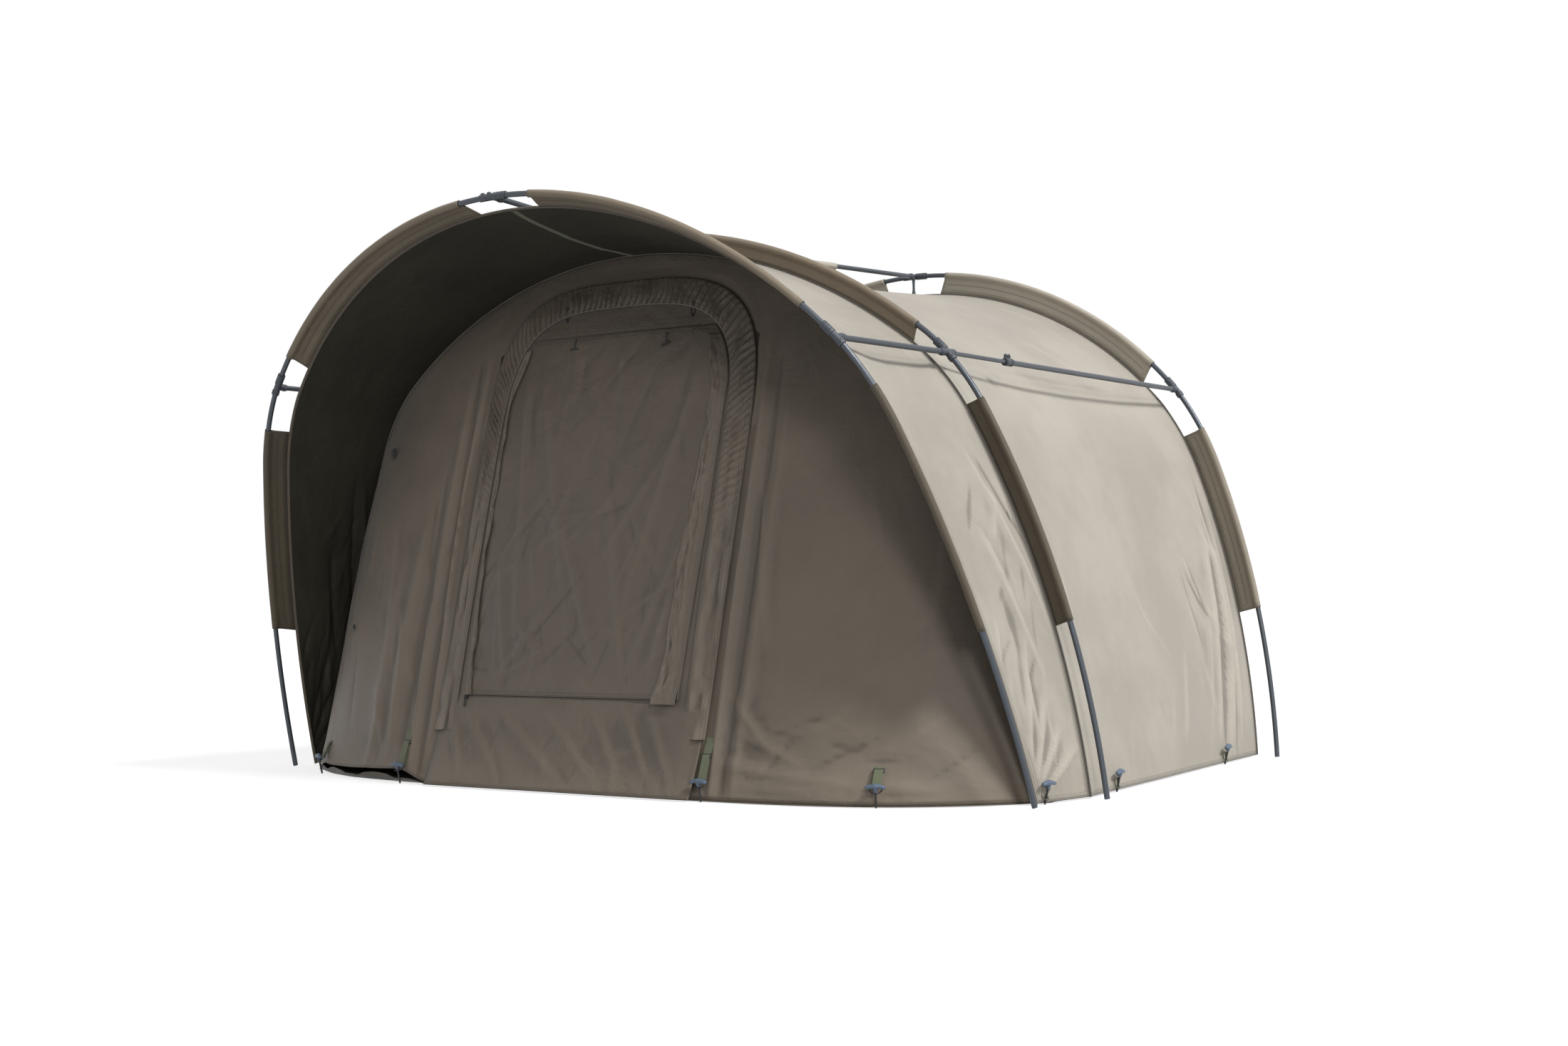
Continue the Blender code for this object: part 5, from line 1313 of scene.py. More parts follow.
def make_seam_tapes():
    """The tape along each arch's seam, which the sleeves and the cloth are sewn to."""
    half_width, half_depth = sizes().piping / 2, BINDING_DEPTH / 2
    for key, line in LINES.items():
        place = line.place(even_marks(420, line))
        turn = np.linspace(0, 2 * pi, 13)
        out = np.clip(1.25 * np.cos(turn), -1, 1) * half_depth
        across = np.clip(1.25 * np.sin(turn), -1, 1) * half_width
        base, away, sideways = line.web_frame(place[:, None])
        points = base + away * out[:, None] + sideways * across[:, None]
        points[:, -1] = points[:, 0]
        piece = Piece()
        piece.grid(points, wrap=True, caps=True)
        piece.finish(f"{key}_seam_tape", "frame", "sleeve", f"{key}_tape", [f"{key}_pole_sleeves"])


def make_ridge_cloth():
    """The sleeve over the rear ridge bar, and the tape along the underside of the hood's ridge."""
    start, end = LINES["middle"].at(0.0), LINES["rear"].at(0.0)
    direction = unit(end - start)
    up = unit(np.cross(np.array([1.0, 0, 0]), direction))
    shares = np.linspace(*RIDGE_SLEEVE_SHARES, 60)
    roof = canopy(BAYS["main"], shares, 0 * shares)[0]
    centre = start + direction * ((roof - start) @ direction)[:, None]
    web = np.linalg.norm(centre - roof, axis=1) - CLOTH / 2 - SEAT_GAP
    outline = sleeve_outline(SLEEVE_BORE, 1.0, SLEEVE_HALF_SEAM)
    out = np.where(outline[:, 0] < -0.3, outline[:, 0] * web[:, None], outline[:, 0])
    sway = 0.0022 * noise(shares, 0 * shares, 0.08, 120)[:, None] * (np.abs(out) / 0.07) ** 0.5
    points = centre[:, None] + up * out[..., None]
    points = points + np.array([1.0, 0, 0]) * (outline[:, 1] + sway)[..., None]
    piece = Piece()
    piece.grid(points, seam=np.minimum(np.abs(-out - 0.023) + 0.006, web[:, None] + out + 0.001), run=shares[:, None])
    face_out(piece, points, centre[:, None])
    # The ridge sleeve takes the painted-highlight copy of the sleeve cloth
    obj = piece.finish("ridge_sleeve_cloth", "frame", "sleeve", "sleeve_top", ["ridge_sleeve"], SLEEVE_CLOTH)
    cut_as(points)
    shares = np.linspace(0.015, 0.99, 90)[:, None]
    marks = np.linspace(-0.085, 0.085, 7)[None, :]
    points = canopy_cloth("front", shares, marks, sizes().cloth + 0.0008)[0]
    look = {"slot": "webbing", "thickness": 0.0006, "sharp": 40}
    obj = sewn("hood_ridge_tape", points, "webbing", outside=(0, 0.5, 3.0), **look)
    cut_as(points)


def make_groundsheet():
    """The sheet under the tent, with a soft edge turned up along the front."""
    share = np.concatenate([np.linspace(0, 0.05, 14), np.linspace(0.05, 1, 60)[1:]])[:, None]
    across = np.linspace(-1, 1, 221)[None, :]
    side = float(LINES["middle"].seam(LINES["middle"].hem)[0]) - SHEET_MARGIN / 2
    front_x, rear_x = float(FRONT_WALL.foot[0]), float(BACK_WALL.foot[0])
    turn = -float(FRONT_WALL.foot[1]) / float(BACK_WALL.foot[1] - FRONT_WALL.foot[1])
    x = across * np.interp(share, [0, turn, 1], [front_x, side, rear_x])
    front = FRONT_WALL.hem_y(across * front_x) - SHEET_MARGIN
    back = BACK_WALL.hem_y(across * rear_x) + SHEET_MARGIN
    y = front * (1 - share) + back * share
    z = SHEET_THICKNESS + 0 * y
    inner = grown(share, 0.06) * grown(1 - share, 0.03)
    inner = inner * grown(1 - np.abs(across), 0.03)
    z = z + inner * 0.0006 * (1 + noise(x, y, 0.12, 131)) + (1 - inner) * (HEM_HEIGHT - SHEET_THICKNESS)
    lip = grown(np.abs(across) - 0.99, 0.01)
    lip = lip * grown(share, 0.05) * grown(1 - share, 0.02)
    x, z = x * (1 - 0.002 * lip), z + 0.008 * lip
    turned_up = within(x, *RAISED_EDGE, 0.12) * grown(1 - share / 0.012)
    z = z + turned_up * 0.016 * (1 + 0.6 * noise(x, y, 0.05, 132))
    points = np.stack([x, y, z], -1)
    marks = {"seam": np.minimum(share, 1 - share) * 2, "run": x + 3, "outside": (0, 0.5, -1)}
    look = {"slot": "ground", "thickness": 0.0030, "sharp": 40}
    obj = sewn("groundsheet_cloth", points, "ground", ["groundsheet"], **look, **marks)
    cut_as(points)


# Poles, bars and their fittings. A rim starts at a share of its first step and has a share of the radius
POLE_STEP = 0.012
RIM_REACH = 0.0005
RIM_SHARE = 0.9
BARREL_LIP = 0.0012
RIB = ((-0.0014, 0), (-0.0008, 0.0009), (0.0008, 0.0009), (0.0014, 0))


def pole(name, path, radius, body="frame"):
    """A pole or bar with narrowed rims, which stands for the node of its name."""
    path = np.asarray(path)
    rims = [path[0] + (path[1] - path[0]) * RIM_REACH, path[-1] + (path[-2] - path[-1]) * RIM_REACH]
    full = np.concatenate([path[:1], rims[:1], path[1:-1], rims[1:], path[-1:]])
    shares = np.ones(len(full))
    shares[0] = shares[-1] = RIM_SHARE
    piece = Piece()
    piece.tube(full, radius * shares, 24)
    piece.finish(f"{name}_tube", body, "pole", "pole", [name])


def run_of(line, sign, start, end):
    """Points along one side of an arch's line."""
    return line.at(sign * np.linspace(start, end, max(4, int(abs(end - start) / POLE_STEP))))


def make_arch_poles():
    """The roof poles from the hubs to the joints, and the legs from there to the ground."""
    for key, line in LINES.items():
        steep = abs(line.spread(at_length(-line.outwards[:, ::-1], line.places, line.length), 1)[2])
        foot = line.place_at_height(POLE_RADIUS * sqrt(max(0.0, 1 - min(1.0, steep) ** 2)) + 0.0006)
        joint = line.arch.joint
        for side_name, side in SIDES.items():
            top, bottom = HUB_HALF_LENGTH + END_GAP, joint - COLLAR_LENGTH - END_GAP
            pole(f"{key}_roof_pole_{side_name}", run_of(line, side, top, bottom), POLE_RADIUS)
            path = run_of(line, side, joint + CLIP_LENGTH + END_GAP, foot)
            pole(f"{key}_leg_{side_name}", path, POLE_RADIUS)


def straight(start, end, near, far, count=12):
    """Points on the line from start to end, from one length along it to another."""
    direction = unit(end - start)
    return start + direction * np.linspace(near, far, count)[:, None]


def make_bars():
    """The ridge and side bars between the arches, and the tension bars with their clamps."""
    near = SOCKET_REACH + SEAT_GAP
    for name, a, b in (("front_ridge_bar", "front", "middle"), ("rear_ridge_bar", "middle", "rear")):
        start, end = LINES[a].at(0.0), LINES[b].at(0.0)
        pole(name, straight(start, end, near, np.linalg.norm(end - start) - near), POLE_RADIUS)
    for side_name, side in SIDES.items():
        front, middle, rear = (LINES[k].at(side * LINES[k].arch.joint) for k in LINES)
        path = straight(front, middle, near, np.linalg.norm(middle - front) - near)
        pole(f"front_side_bar_{side_name}", path, POLE_RADIUS)
        reach = CLAMP_PLACE + INNER_BAR_INSERT
        name = f"tension_bar_inner_{side_name}"
        pole(name, straight(middle, rear, near, reach), INNER_BAR_RADIUS, name)
        path = straight(middle, rear, CLAMP_PLACE, np.linalg.norm(rear - middle) - near)
        make_outer_bar(f"tension_bar_outer_{side_name}", path)
        make_clamp(side_name, middle, rear)


def make_outer_bar(name, path):
    """An open tube that the inner bar slides in."""
    full = np.concatenate([path, path[::-1], path[:1]])
    radii = [POLE_RADIUS] * len(path) + [POLE_RADIUS - 0.0011] * len(path) + [POLE_RADIUS]
    direction = unit(path[-1] - path[0])
    side = unit(np.cross(direction, UP))
    piece = Piece()
    piece.turned(full, radii, side, np.cross(side, direction), 24)
    piece.finish(f"{name}_tube", "frame", "pole", "pole", [name])


def add_barrel(piece, line, start, end, radius, neck, ribs):
    """Adds a barrel round an arch's line, with rounded lips and shallow ribs."""
    shoulder = neck + (radius - neck) * 0.8
    steps = [(start, neck), (start + BARREL_LIP * 0.4, shoulder), (start + BARREL_LIP, radius)]
    for index in range(ribs):
        middle = start + (end - start) * (index + 1) / (ribs + 1)
        steps += [(middle + offset, radius - depth) for offset, depth in RIB]
    steps += [(end - BARREL_LIP, radius), (end - BARREL_LIP * 0.4, shoulder), (end, neck)]
    places, radii = zip(*steps)
    piece.tube(line.at(np.array(places)), radii, 28, across=line.back)


def add_socket(piece, centre, towards):
    """A side socket that a bar plugs into, with a lip, a grub screw and a small web to the barrel."""
    direction = unit(towards - centre)
    places = [0.003, *(SOCKET_REACH - back for back in (0.011, 0.010, 0.008, 0.007, 0.0012, 0.0005, 0))]
    radii = [0.0095, 0.0102, 0.0113, 0.0113, 0.0106, 0.0106, 0.0102, 0.0094]
    piece.tube(centre + direction * np.array(places)[:, None], radii, 24)
    up = unit(UP - direction * direction[2])
    spot = centre + direction * (SOCKET_REACH - 0.016) + up * 0.0085
    screw = [spot, spot + up * 0.0022, spot + up * 0.0028]
    piece.tube(screw, [0.0030, 0.0030, 0.0022], 12, across=direction)


def make_shoulder_joints():
    """At each shoulder a collar, a neck with its sockets and a clip below."""
    for key, line in LINES.items():
        joint = line.arch.joint
        for side_name, side in SIDES.items():
            piece = Piece()
            ends = sorted([side * (joint - COLLAR_LENGTH), side * (joint - COLLAR_LENGTH / 4)])
            add_barrel(piece, line, *ends, JOINT_RADIUS, NECK_RADIUS, 3)
            neck = np.linspace(joint - COLLAR_LENGTH / 4 - 0.002, joint + CLIP_LENGTH / 2, 6)
            piece.tube(line.at(side * neck), NECK_RADIUS, 24, across=line.back)
            ends = sorted([side * (joint + CLIP_LENGTH / 2 - 0.001), side * (joint + CLIP_LENGTH)])
            add_barrel(piece, line, *ends, JOINT_RADIUS, NECK_RADIUS, 1)
            centre = line.at(side * joint)
            for other in NEIGHBOURS[key]:
                add_socket(piece, centre, LINES[other].at(side * LINES[other].arch.joint))
            name = f"{key}_shoulder_joint_{side_name}"
            piece.finish(f"{name}_fitting", "frame", "fitting", "fitting", [name])


def make_crown_hubs():
    """The hub at each crown; the front one has two buttons and the rear one a post on the cloth."""
    for key, line in LINES.items():
        piece = Piece()
        add_barrel(piece, line, HUB_HALF_LENGTH / 8, HUB_HALF_LENGTH, JOINT_RADIUS, NECK_RADIUS, 2)
        near = HUB_HALF_LENGTH / 8 + 0.001
        add_barrel(piece, line, -HUB_HALF_LENGTH, near, NECK_RADIUS + 0.0004, NECK_RADIUS - 0.001, 1)
        centre = line.at(0.0)
        for other in NEIGHBOURS[key]:
            add_socket(piece, centre, LINES[other].at(0.0))
        if key == "front":
            for step in (0.5, 1.5):
                place = -HUB_BUTTON_PITCH * step
                out = line.outward(place)
                foot = line.at(place) + out * 0.008
                path = [foot, foot + out * 0.0045, foot + out * 0.0060, foot + out * 0.0066]
                piece.tube(path, [HUB_BUTTON_RADIUS, HUB_BUTTON_RADIUS, 0.0052, 0.0030], 16, across=line.back)
        if key == "rear":
            out = line.outward(0.0)
            forward = np.array([0, -BINDING_WIDTH / 2 - 0.0078, 0])
            top = centre + forward - out * 0.004
            low = centre + forward - out * (line.arch.web - CLOTH / 2 - 2 * SEAT_GAP)
            path = straight(top, low, 0, np.linalg.norm(low - top), 8)
            piece.tube(path, [0.007, 0.006, 0.0048, 0.0045, 0.0045, 0.0048, 0.0066, 0.0068], 20, across=(1, 0, 0))
        piece.finish(f"{key}_crown_hub_fitting", "frame", "fitting", "fitting", [f"{key}_crown_hub"])


# A lug's section, as radii and shares of half its width
LUG_HALF_WIDTH = 0.00225
LUG_SECTION = [
    (0.0029, -0.5), (0.0035, -1), (0.0072, -1), (LUG_RADIUS, -0.5), (LUG_RADIUS, 0.5), (0.0072, 1), (0.0035, 1),
    (0.0029, 0.5), (0.0029, -0.5),
]


def make_clamp(side_name, start, end):
    """A clamp round the mouth of the outer bar, with a lip over the inner bar and two eyed lugs on top."""
    direction = unit(end - start)
    mouth = start + direction * CLAMP_PLACE
    across = unit(np.cross(direction, UP))
    rise = np.cross(across, direction)
    back = CLAMP_LENGTH - CLAMP_LIP
    bore, lip_bore, outer = POLE_RADIUS + 0.0005, INNER_BAR_RADIUS + 0.0005, 0.0115
    profile = [
        (lip_bore, -CLAMP_LIP),
        (lip_bore, -SEAT_GAP),
        (bore, -SEAT_GAP),
        (bore, back),
        (outer - 0.0022, back),
        (outer - 0.0006, back - 0.0006),
        (outer, back - 0.002),
        (outer, 0.024),
        (outer - 0.0012, 0.0225),
        (outer - 0.0012, 0.0165),
        (outer, 0.015),
        (outer, 0.002 - CLAMP_LIP),
        (outer - 0.0006, 0.0006 - CLAMP_LIP),
        (outer - 0.0022, -CLAMP_LIP),
        (lip_bore, -CLAMP_LIP),
    ]
    profile = np.array(profile)
    piece = Piece()
    piece.turned(mouth + direction * profile[:, 1:], profile[:, 0], across, rise, 32)
    section = np.array(LUG_SECTION)
    for step in (0, 1):
        centre = mouth + direction * (step * LUG_PITCH) + rise * (bore + LUG_RADIUS - 0.0006)
        piece.turned(centre + across * (section[:, 1:] * LUG_HALF_WIDTH), section[:, 0], direction, rise, 24)
    name = f"tension_bar_clamp_{side_name}"
    piece.finish(f"{name}_fitting", name, "clamp", "clamp", [name])


# Straps, rings and pegs
LOOSE_END_SHARE = 0.94
CORNER_RADIUS = 0.002


def wall_spot(x, z):
    """A point on the front wall's outer face at x and z, and the direction that it faces."""
    step = 0.02
    here = np.array([x, float(FRONT_WALL.y_at(x, z)), z])
    right = np.array([2 * step, float(FRONT_WALL.y_at(x + step, z) - FRONT_WALL.y_at(x - step, z)), 0])
    rise = np.array([0, float(FRONT_WALL.y_at(x, z + step) - FRONT_WALL.y_at(x, max(z - step, 0.001))), 2 * step])
    facing = unit(np.cross(right, rise))
    facing = facing if facing[1] < 0 else -facing
    return here + facing * CLOTH / 2, facing


def ribbon(piece, path, across, width):
    """Adds a strip of webbing along a path, as one closed flat tube."""
    path = np.asarray(path)
    tangents = unit(np.gradient(path, axis=0))
    across = unit(np.asarray(across))
    normals = unit(np.cross(np.broadcast_to(across, tangents.shape), tangents))
    corners = [(-0.5, -0.5), (0.5, -0.5), (0.5, 0.5), (-0.5, 0.5), (-0.5, -0.5)]
    points = [path + across * (w * width) + normals * (t * STRAP_THICKNESS) for w, t in corners]
    piece.grid(np.stack(points, 1), wrap=True, caps=True)


def make_straps():
    """The four webbing straps at the front wall's foot, each through a buckle to its ring and peg."""
    for name, (x, height) in STRAPS.items():
        top, facing = wall_spot(x, height)
        across = unit(np.cross(UP, facing))
        low, _ = wall_spot(x, STRAP_BOTTOM)
        bar = low + facing * STRAP_PULL
        down = unit(bar - top)
        out = np.cross(down, across)
        out = out if out @ facing > 0 else -out
        piece = Piece()
        lift = STRAP_THICKNESS / 2 + SEAT_GAP + 0.0006
        begin = top + facing * lift
        length = np.linalg.norm(bar - begin)
        mid = 0.42 * length if height > 0.12 else 0.22 * length
        ring_spot = begin + unit(bar - begin) * mid + out * 0.002
        straight_down = [begin + (ring_spot - begin) * s + out * 0.0008 for s in np.linspace(0, 0.93, 8)]
        ribbon(piece, straight_down, across, STRAP_WIDTH)
        for sign in (-1, 1):
            row = [begin + (ring_spot - begin) * share + across * (sign * 0.009) for share in (0.06, 0.30)]
            piece.tube([p + out * 0.0022 for p in row], 0.0007, 6)
        upper = [ring_spot + out * 0.0040 + (bar - ring_spot) * s for s in np.linspace(0.06, 0.93, 8)]
        lower = [bar - out * 0.0018 + (ring_spot - bar) * s for s in np.linspace(0.07, 0.92, 8)]
        under = np.concatenate([[upper[-1]], fold_around(bar, out, down), [lower[0]]])
        over = np.concatenate([[lower[-1]], fold_around(ring_spot + out * 0.0012, -out, -down), [upper[0]]])
        for part in (upper, lower, under, over):
            ribbon(piece, part, across, STRAP_WIDTH * LOOSE_END_SHARE)
        piece.finish(f"{name}_web", "frame", "webbing", "webbing", [f"{name}_webbing"])
        make_dee(name, ring_spot, across, down, out)
        make_ring_and_peg(name, bar, across)


def fold_around(centre, out, down):
    """Points half way round a bar, from its outer side, under it and back up behind."""
    turn = np.linspace(0.15, pi - 0.15, 9)[:, None]
    return centre + 0.0028 * (out * np.cos(turn) + down * np.sin(turn))


def make_dee(name, spot, across, down, out):
    """The flat buckle ring between the two lengths of webbing."""
    centre = spot + out * 0.0012
    half_w, half_h = STRAP_WIDTH / 2 + 0.0022, 0.0052
    corners = [(-half_w, -half_h), (half_w, -half_h), (half_w, half_h), (-half_w, half_h)]
    path = []
    for index, (w, h) in enumerate(corners):
        w, h = w - CORNER_RADIUS * np.sign(w), h - CORNER_RADIUS * np.sign(h)
        start = pi + index * pi / 2
        for turn in np.linspace(start, start + pi / 2, 5):
            path.append(centre + across * (w + CORNER_RADIUS * cos(turn)) + down * (h + CORNER_RADIUS * sin(turn)))
    piece = Piece()
    piece.loop(path, 0.0013, out)
    piece.finish(f"{name}_buckle", "frame", "ring", "dark")


def make_ring_and_peg(name, bar, across):
    """The wire ring in a strap's end, and the peg that stands through it."""
    outward = np.cross(across, UP)
    hang = -UP * cos(RING_TILT) + outward * sin(RING_TILT)
    path = [bar + across * w for w in np.linspace(-RING_HALF_WIDTH + 0.002, RING_HALF_WIDTH - 0.002, 8)]
    for turn in np.linspace(0, pi, 22):
        depth = (RING_DEPTH - RING_HALF_WIDTH) * min(1.0, sin(turn) * 4 + 0.12)
        path.append(bar + across * (RING_HALF_WIDTH * cos(turn)) + hang * (depth + RING_HALF_WIDTH * sin(turn)))
    piece = Piece()
    piece.loop(path, RING_WIRE_RADIUS, np.cross(across, hang))
    piece.finish(f"{name}_wire_ring", "frame", "ring", "dark", [f"{name}_ring"])
    reach = RING_DEPTH - RING_WIRE_RADIUS - PEG_GAP - PEG_RADIUS / cos(PEG_TILT + RING_TILT - pi / 2)
    crossing = bar + hang * reach
    up = UP * cos(PEG_TILT) + outward * sin(PEG_TILT)
    make_peg(name.replace("strap", "peg"), crossing - up * (crossing[2] / up[2]), outward, across)


# A peg head's cross-section along its half: places and sizes as shares
HEAD_PLACES = (0, 0.12, 0.28, 0.5, 0.75, 0.9, 0.97, 1)
HEAD_TAPER = ([0, 0.12, 0.3, 0.55, 0.9, 0.97, 1], [1.0, 0.94, 0.80, 0.78, 0.66, 0.50, 0.22])
HOOK = ((0.002, 0), (0.006, 0.0002), (0.0085, 0.0016), (0.0092, 0.003))


def make_peg(name, foot, lean_to, across, tilt=PEG_TILT):
    """A peg: a waisted moulded T-head with a hook below it, on a dark steel shaft."""
    up = unit(UP * cos(tilt) + lean_to * sin(tilt))
    across = unit(across - up * (across @ up))
    forth = np.cross(up, across)
    start = np.array([foot[0], foot[1], 0]) + up * (PEG_RADIUS * tan(tilt) + 0.0004)
    top = start + up * (PEG_TOP / cos(tilt))
    shares = np.array([*(-place for place in HEAD_PLACES[:0:-1]), *HEAD_PLACES])
    path = top + across * (shares * PEG_HEAD_LENGTH / 2)[:, None] - up * (0.005 * np.abs(shares) ** 2.5)[:, None]
    turn = np.linspace(0, 2 * pi, 25)[:-1]
    rounds = [np.sign(wave) * np.abs(wave) ** 0.7 for wave in (np.cos(turn), np.sin(turn))]
    outline = np.stack([rounds[0] * PEG_HEAD_HEIGHT / 2, rounds[1] * PEG_HEAD_WIDTH / 2], 1)
    head = Piece()
    head.tube(path, np.interp(np.abs(shares), *HEAD_TAPER), across=up, outline=outline)
    neck = [top - up * d for d in (0.002, 0.007, 0.012, 0.016, 0.0168)]
    head.tube(neck, [0.0066, 0.0062, 0.0052, 0.0046, 0.0036], 20, across=across)
    hook = [top - up * 0.0125 + forth * d + up * rise for d, rise in HOOK]
    head.tube(hook, [0.0032, 0.0028, 0.0024, 0.0016], 12, across=across)
    head.finish(f"{name}_head", name, "peg", "peg", [name])
    places = np.linspace(0, PEG_TOP / cos(tilt) - 0.012, 8)
    shaft = Piece()
    shaft.tube(start + up * places[:, None], [0.0024, *[PEG_RADIUS] * 7], 16)
    shaft.finish(f"{name}_shaft", name, "peg", "dark")


def make_hem_pegs():
    """The pegs at the right-hand hem, each in a loop by its arch."""
    for key, (bay_key, share) in HEM_PEGS.items():
        bay = BAYS[bay_key]
        hem = canopy(bay, share, HALF)[0]
        along = unit(canopy(bay, 1.0, HALF)[0] - canopy(bay, 0.0, HALF)[0])
        outward = np.cross(along, UP)
        outward = outward if outward[0] > 0 else -outward
        rise = canopy(bay, share, HALF - 1)[0] - hem
        tilt = HEM_PEG_TILT + atan2(rise @ outward, rise[2])
        reach = CLOTH / 2 + PEG_RADIUS + PEG_GAP - HEM_HEIGHT * tan(tilt)
        make_peg(f"{key}_hem_peg_right", hem + outward * reach, outward, along, tilt)
        make_hem_loop(key, hem, outward, along)


# A hem loop's path: along the hem, out from it and up
HEM_LOOP = [
    (-0.011, 0.0024, 0.035), (-0.011, 0.003, 0.018), (-0.0105, 0.007, 0.010), (-0.006, 0.0125, 0.008),
    (0, 0.0145, 0.0078),
    (0.006, 0.0125, 0.008), (0.0105, 0.007, 0.010), (0.011, 0.003, 0.018), (0.011, 0.0024, 0.035),
]


def make_hem_loop(key, hem, outward, along):
    """The short webbing loop at the hem that the peg goes through."""
    path = [hem + along * w + outward * out + UP * height for w, out, height in HEM_LOOP]
    piece = Piece()
    piece.tube(path, 0.0022, 10, flat=0.5, across=outward)
    piece.finish(f"{key}_hem_loop", "frame", "webbing", "webbing")


# Zip, toggles and loops
BRIDGE = ((-0.004, 0), (-0.003, 0.002), (0.002, 0.002), (0.003, 0))
ACROSS = np.array([1.0, 0, 0])


def full_turn(count):
    """Even angles round a circle."""
    return np.linspace(0, 2 * pi, count + 1)[:-1]


def make_window_zip():
    """The coil zip along the foot of the window cover, with its tape, and the slider at its left corner."""
    x = np.linspace(-WINDOW_BOTTOM_HALF_WIDTH + 0.002, WINDOW_BOTTOM_HALF_WIDTH - 0.004, 260)
    z = WINDOW_BOTTOM_HEIGHT - 0.0022
    tape_z = np.linspace(-0.009, 0.0015, 5)[:, None] + z
    points = door_points(x[None, :], tape_z, 1, CLOTH / 2 + 0.0001)
    look = {"thickness": 0.0003, "offset": 1.0, "sharp": 40}
    obj = sewn("window_zip_tape", points, "zip", (), "door", "zip", outside=BEHIND_DOOR, **look)
    cut_as(points)
    slider = Piece()
    centre_z = WINDOW_BOTTOM_HEIGHT - 0.0070
    lean = door_points(0.0, centre_z, 1) - door_points(0.0, centre_z + 0.028, 1)
    centre = door_points(0.0, centre_z, 1, CLOTH / 2 + SEAT_GAP + 0.003)
    centre[0] = -WINDOW_BOTTOM_HALF_WIDTH + 0.007
    tilt = Matrix.Rotation(atan2(lean[1], -lean[2]), 4, "X")
    slider.block((0.014, 0.0058, 0.011), Matrix.Translation(centre) @ tilt, 0.0014)
    down = np.array(tilt.to_3x3() @ Vector((0, 0, -1)))
    out = np.array(tilt.to_3x3() @ Vector((0, -1, 0)))
    bridge = [centre + out * 0.0024 + down * d + out * rise for d, rise in BRIDGE]
    slider.tube(bridge, 0.0009, 8, across=(1, 0, 0))
    ring = [ACROSS * (0.003 * cos(turn)) + down * (0.0045 + 0.004 * sin(turn)) for turn in full_turn(12)]
    slider.loop(centre + out * 0.0030 + np.array(ring), 0.0007, out, 8)
    handle = centre + out * 0.0026 + down * 0.0185
    slider.block((0.0075, 0.0020, 0.0210), Matrix.Translation(handle) @ tilt, 0.0008)
    slider.finish("window_zip_slider_metal", "window_zip_slider", "zip", "dark", ["window_zip_slider"])


TOGGLE_LOOPS = {"left": (-0.225, 1.432), "right": (0.262, 1.410)}
COVER_TOGGLES = {"left": (-0.165, 1.338), "right": (0.187, 1.330)}


# Down and out on the door's face, and the wall toggles' names, places and sizes
DOOR_DOWN, DOOR_OUT = np.array([0, -0.13, -0.99]), np.array([0, -0.99, 0.13])
WALL_TOGGLES = (("upper", -1.005, 1.035, 1.3), ("lower", -1.060, 0.470, 0.7))


def make_toggles():
    """Elastic loops on the door's header and the toggles below them, which hold the rolled window cover."""
    down, out = DOOR_DOWN, DOOR_OUT
    for side, (x, z) in TOGGLE_LOOPS.items():
        spot = door_points(x, z, 1, 0.003)
        piece = Piece()
        ring = [down * (0.020 - 0.020 * cos(turn)) + ACROSS * (0.0075 * sin(turn)) for turn in full_turn(20)]
        piece.loop(spot + out * 0.002 + np.array(ring), 0.0014, out, 8)
        piece.block((0.020, 0.004, 0.013), Matrix.Translation(spot + out * 0.001), 0.0012)
        path = [spot + down * d + out * 0.002 for d in (0.028, 0.030, 0.038, 0.041)]
        piece.tube(path, [0.003, 0.006, 0.006, 0.003], 14)
        piece.finish(f"door_toggle_loop_{side}", "door", "zip", "cord")
    shares = np.array([-1, -0.92, -0.6, 0, 0.6, 0.92, 1])
    for side, (x, z) in COVER_TOGGLES.items():
        spot = door_points(x, z, 2, 0.0065)
        across = ACROSS if side == "left" else unit(np.array([1.0, 0, 0.35]))
        piece = Piece()
        path = [spot, spot + down * 0.012 + out * 0.002, spot + down * 0.030 + out * 0.004]
        piece.tube(path, [0.0022, 0.0016, 0.0016], 8)
        path = spot + down * 0.034 + out * 0.005 + across * (shares * 0.016)[:, None]
        piece.tube(path, [0.0018, 0.0034, 0.0040, 0.0032, 0.0040, 0.0034, 0.0018], 14)
        piece.finish(f"cover_toggle_{side}", "window_cover", "zip", "cord")
    along = np.array([0.86, -0.5, 0])
    for name, x, z, size in WALL_TOGGLES:
        spot = np.array([x, float(FRONT_WALL.y_at(x, z)) - 0.016, z])
        piece = Piece()
        tip = spot + along * 0.014 * size - UP * 0.004
        piece.tube([spot - along * 0.016 * size, spot, tip], [0.0028 * size, 0.0045 * size, 0.0030 * size], 10)
        path = [tip + UP * (d * size) for d in (-0.011, -0.009, 0.0, 0.009, 0.011)]
        radii = [radius * size for radius in (0.002, 0.0055, 0.0042, 0.0055, 0.002)]
        piece.tube(path, radii, 14, across=(1, 0, 0))
        piece.finish(f"wall_toggle_{name}", "frame", "zip", "cord")


# Stage
CAMERA_PLACE = (4.14573, -5.24814, 0.61163)
CAMERA_TURN = (0.618976, 0.018358, -0.013841)
FOCAL_PIXELS = 3044.56
CENTRE_PIXEL_Y = 751.556
IMAGE_SIZE = (2200, 1467)
SKY_LEVEL = 0.36
FLOOR_LIFT = 0.75
FLOOR_SIZE = 40
FLOOR_DROP = 0.001

# Each sun's aim, strength and width in degrees
SUNS = {"key": ((-0.70, 0.04, -0.70), 3.2, 14), "fill": ((-0.70, 0.65, -0.30), 0.85, 12)}


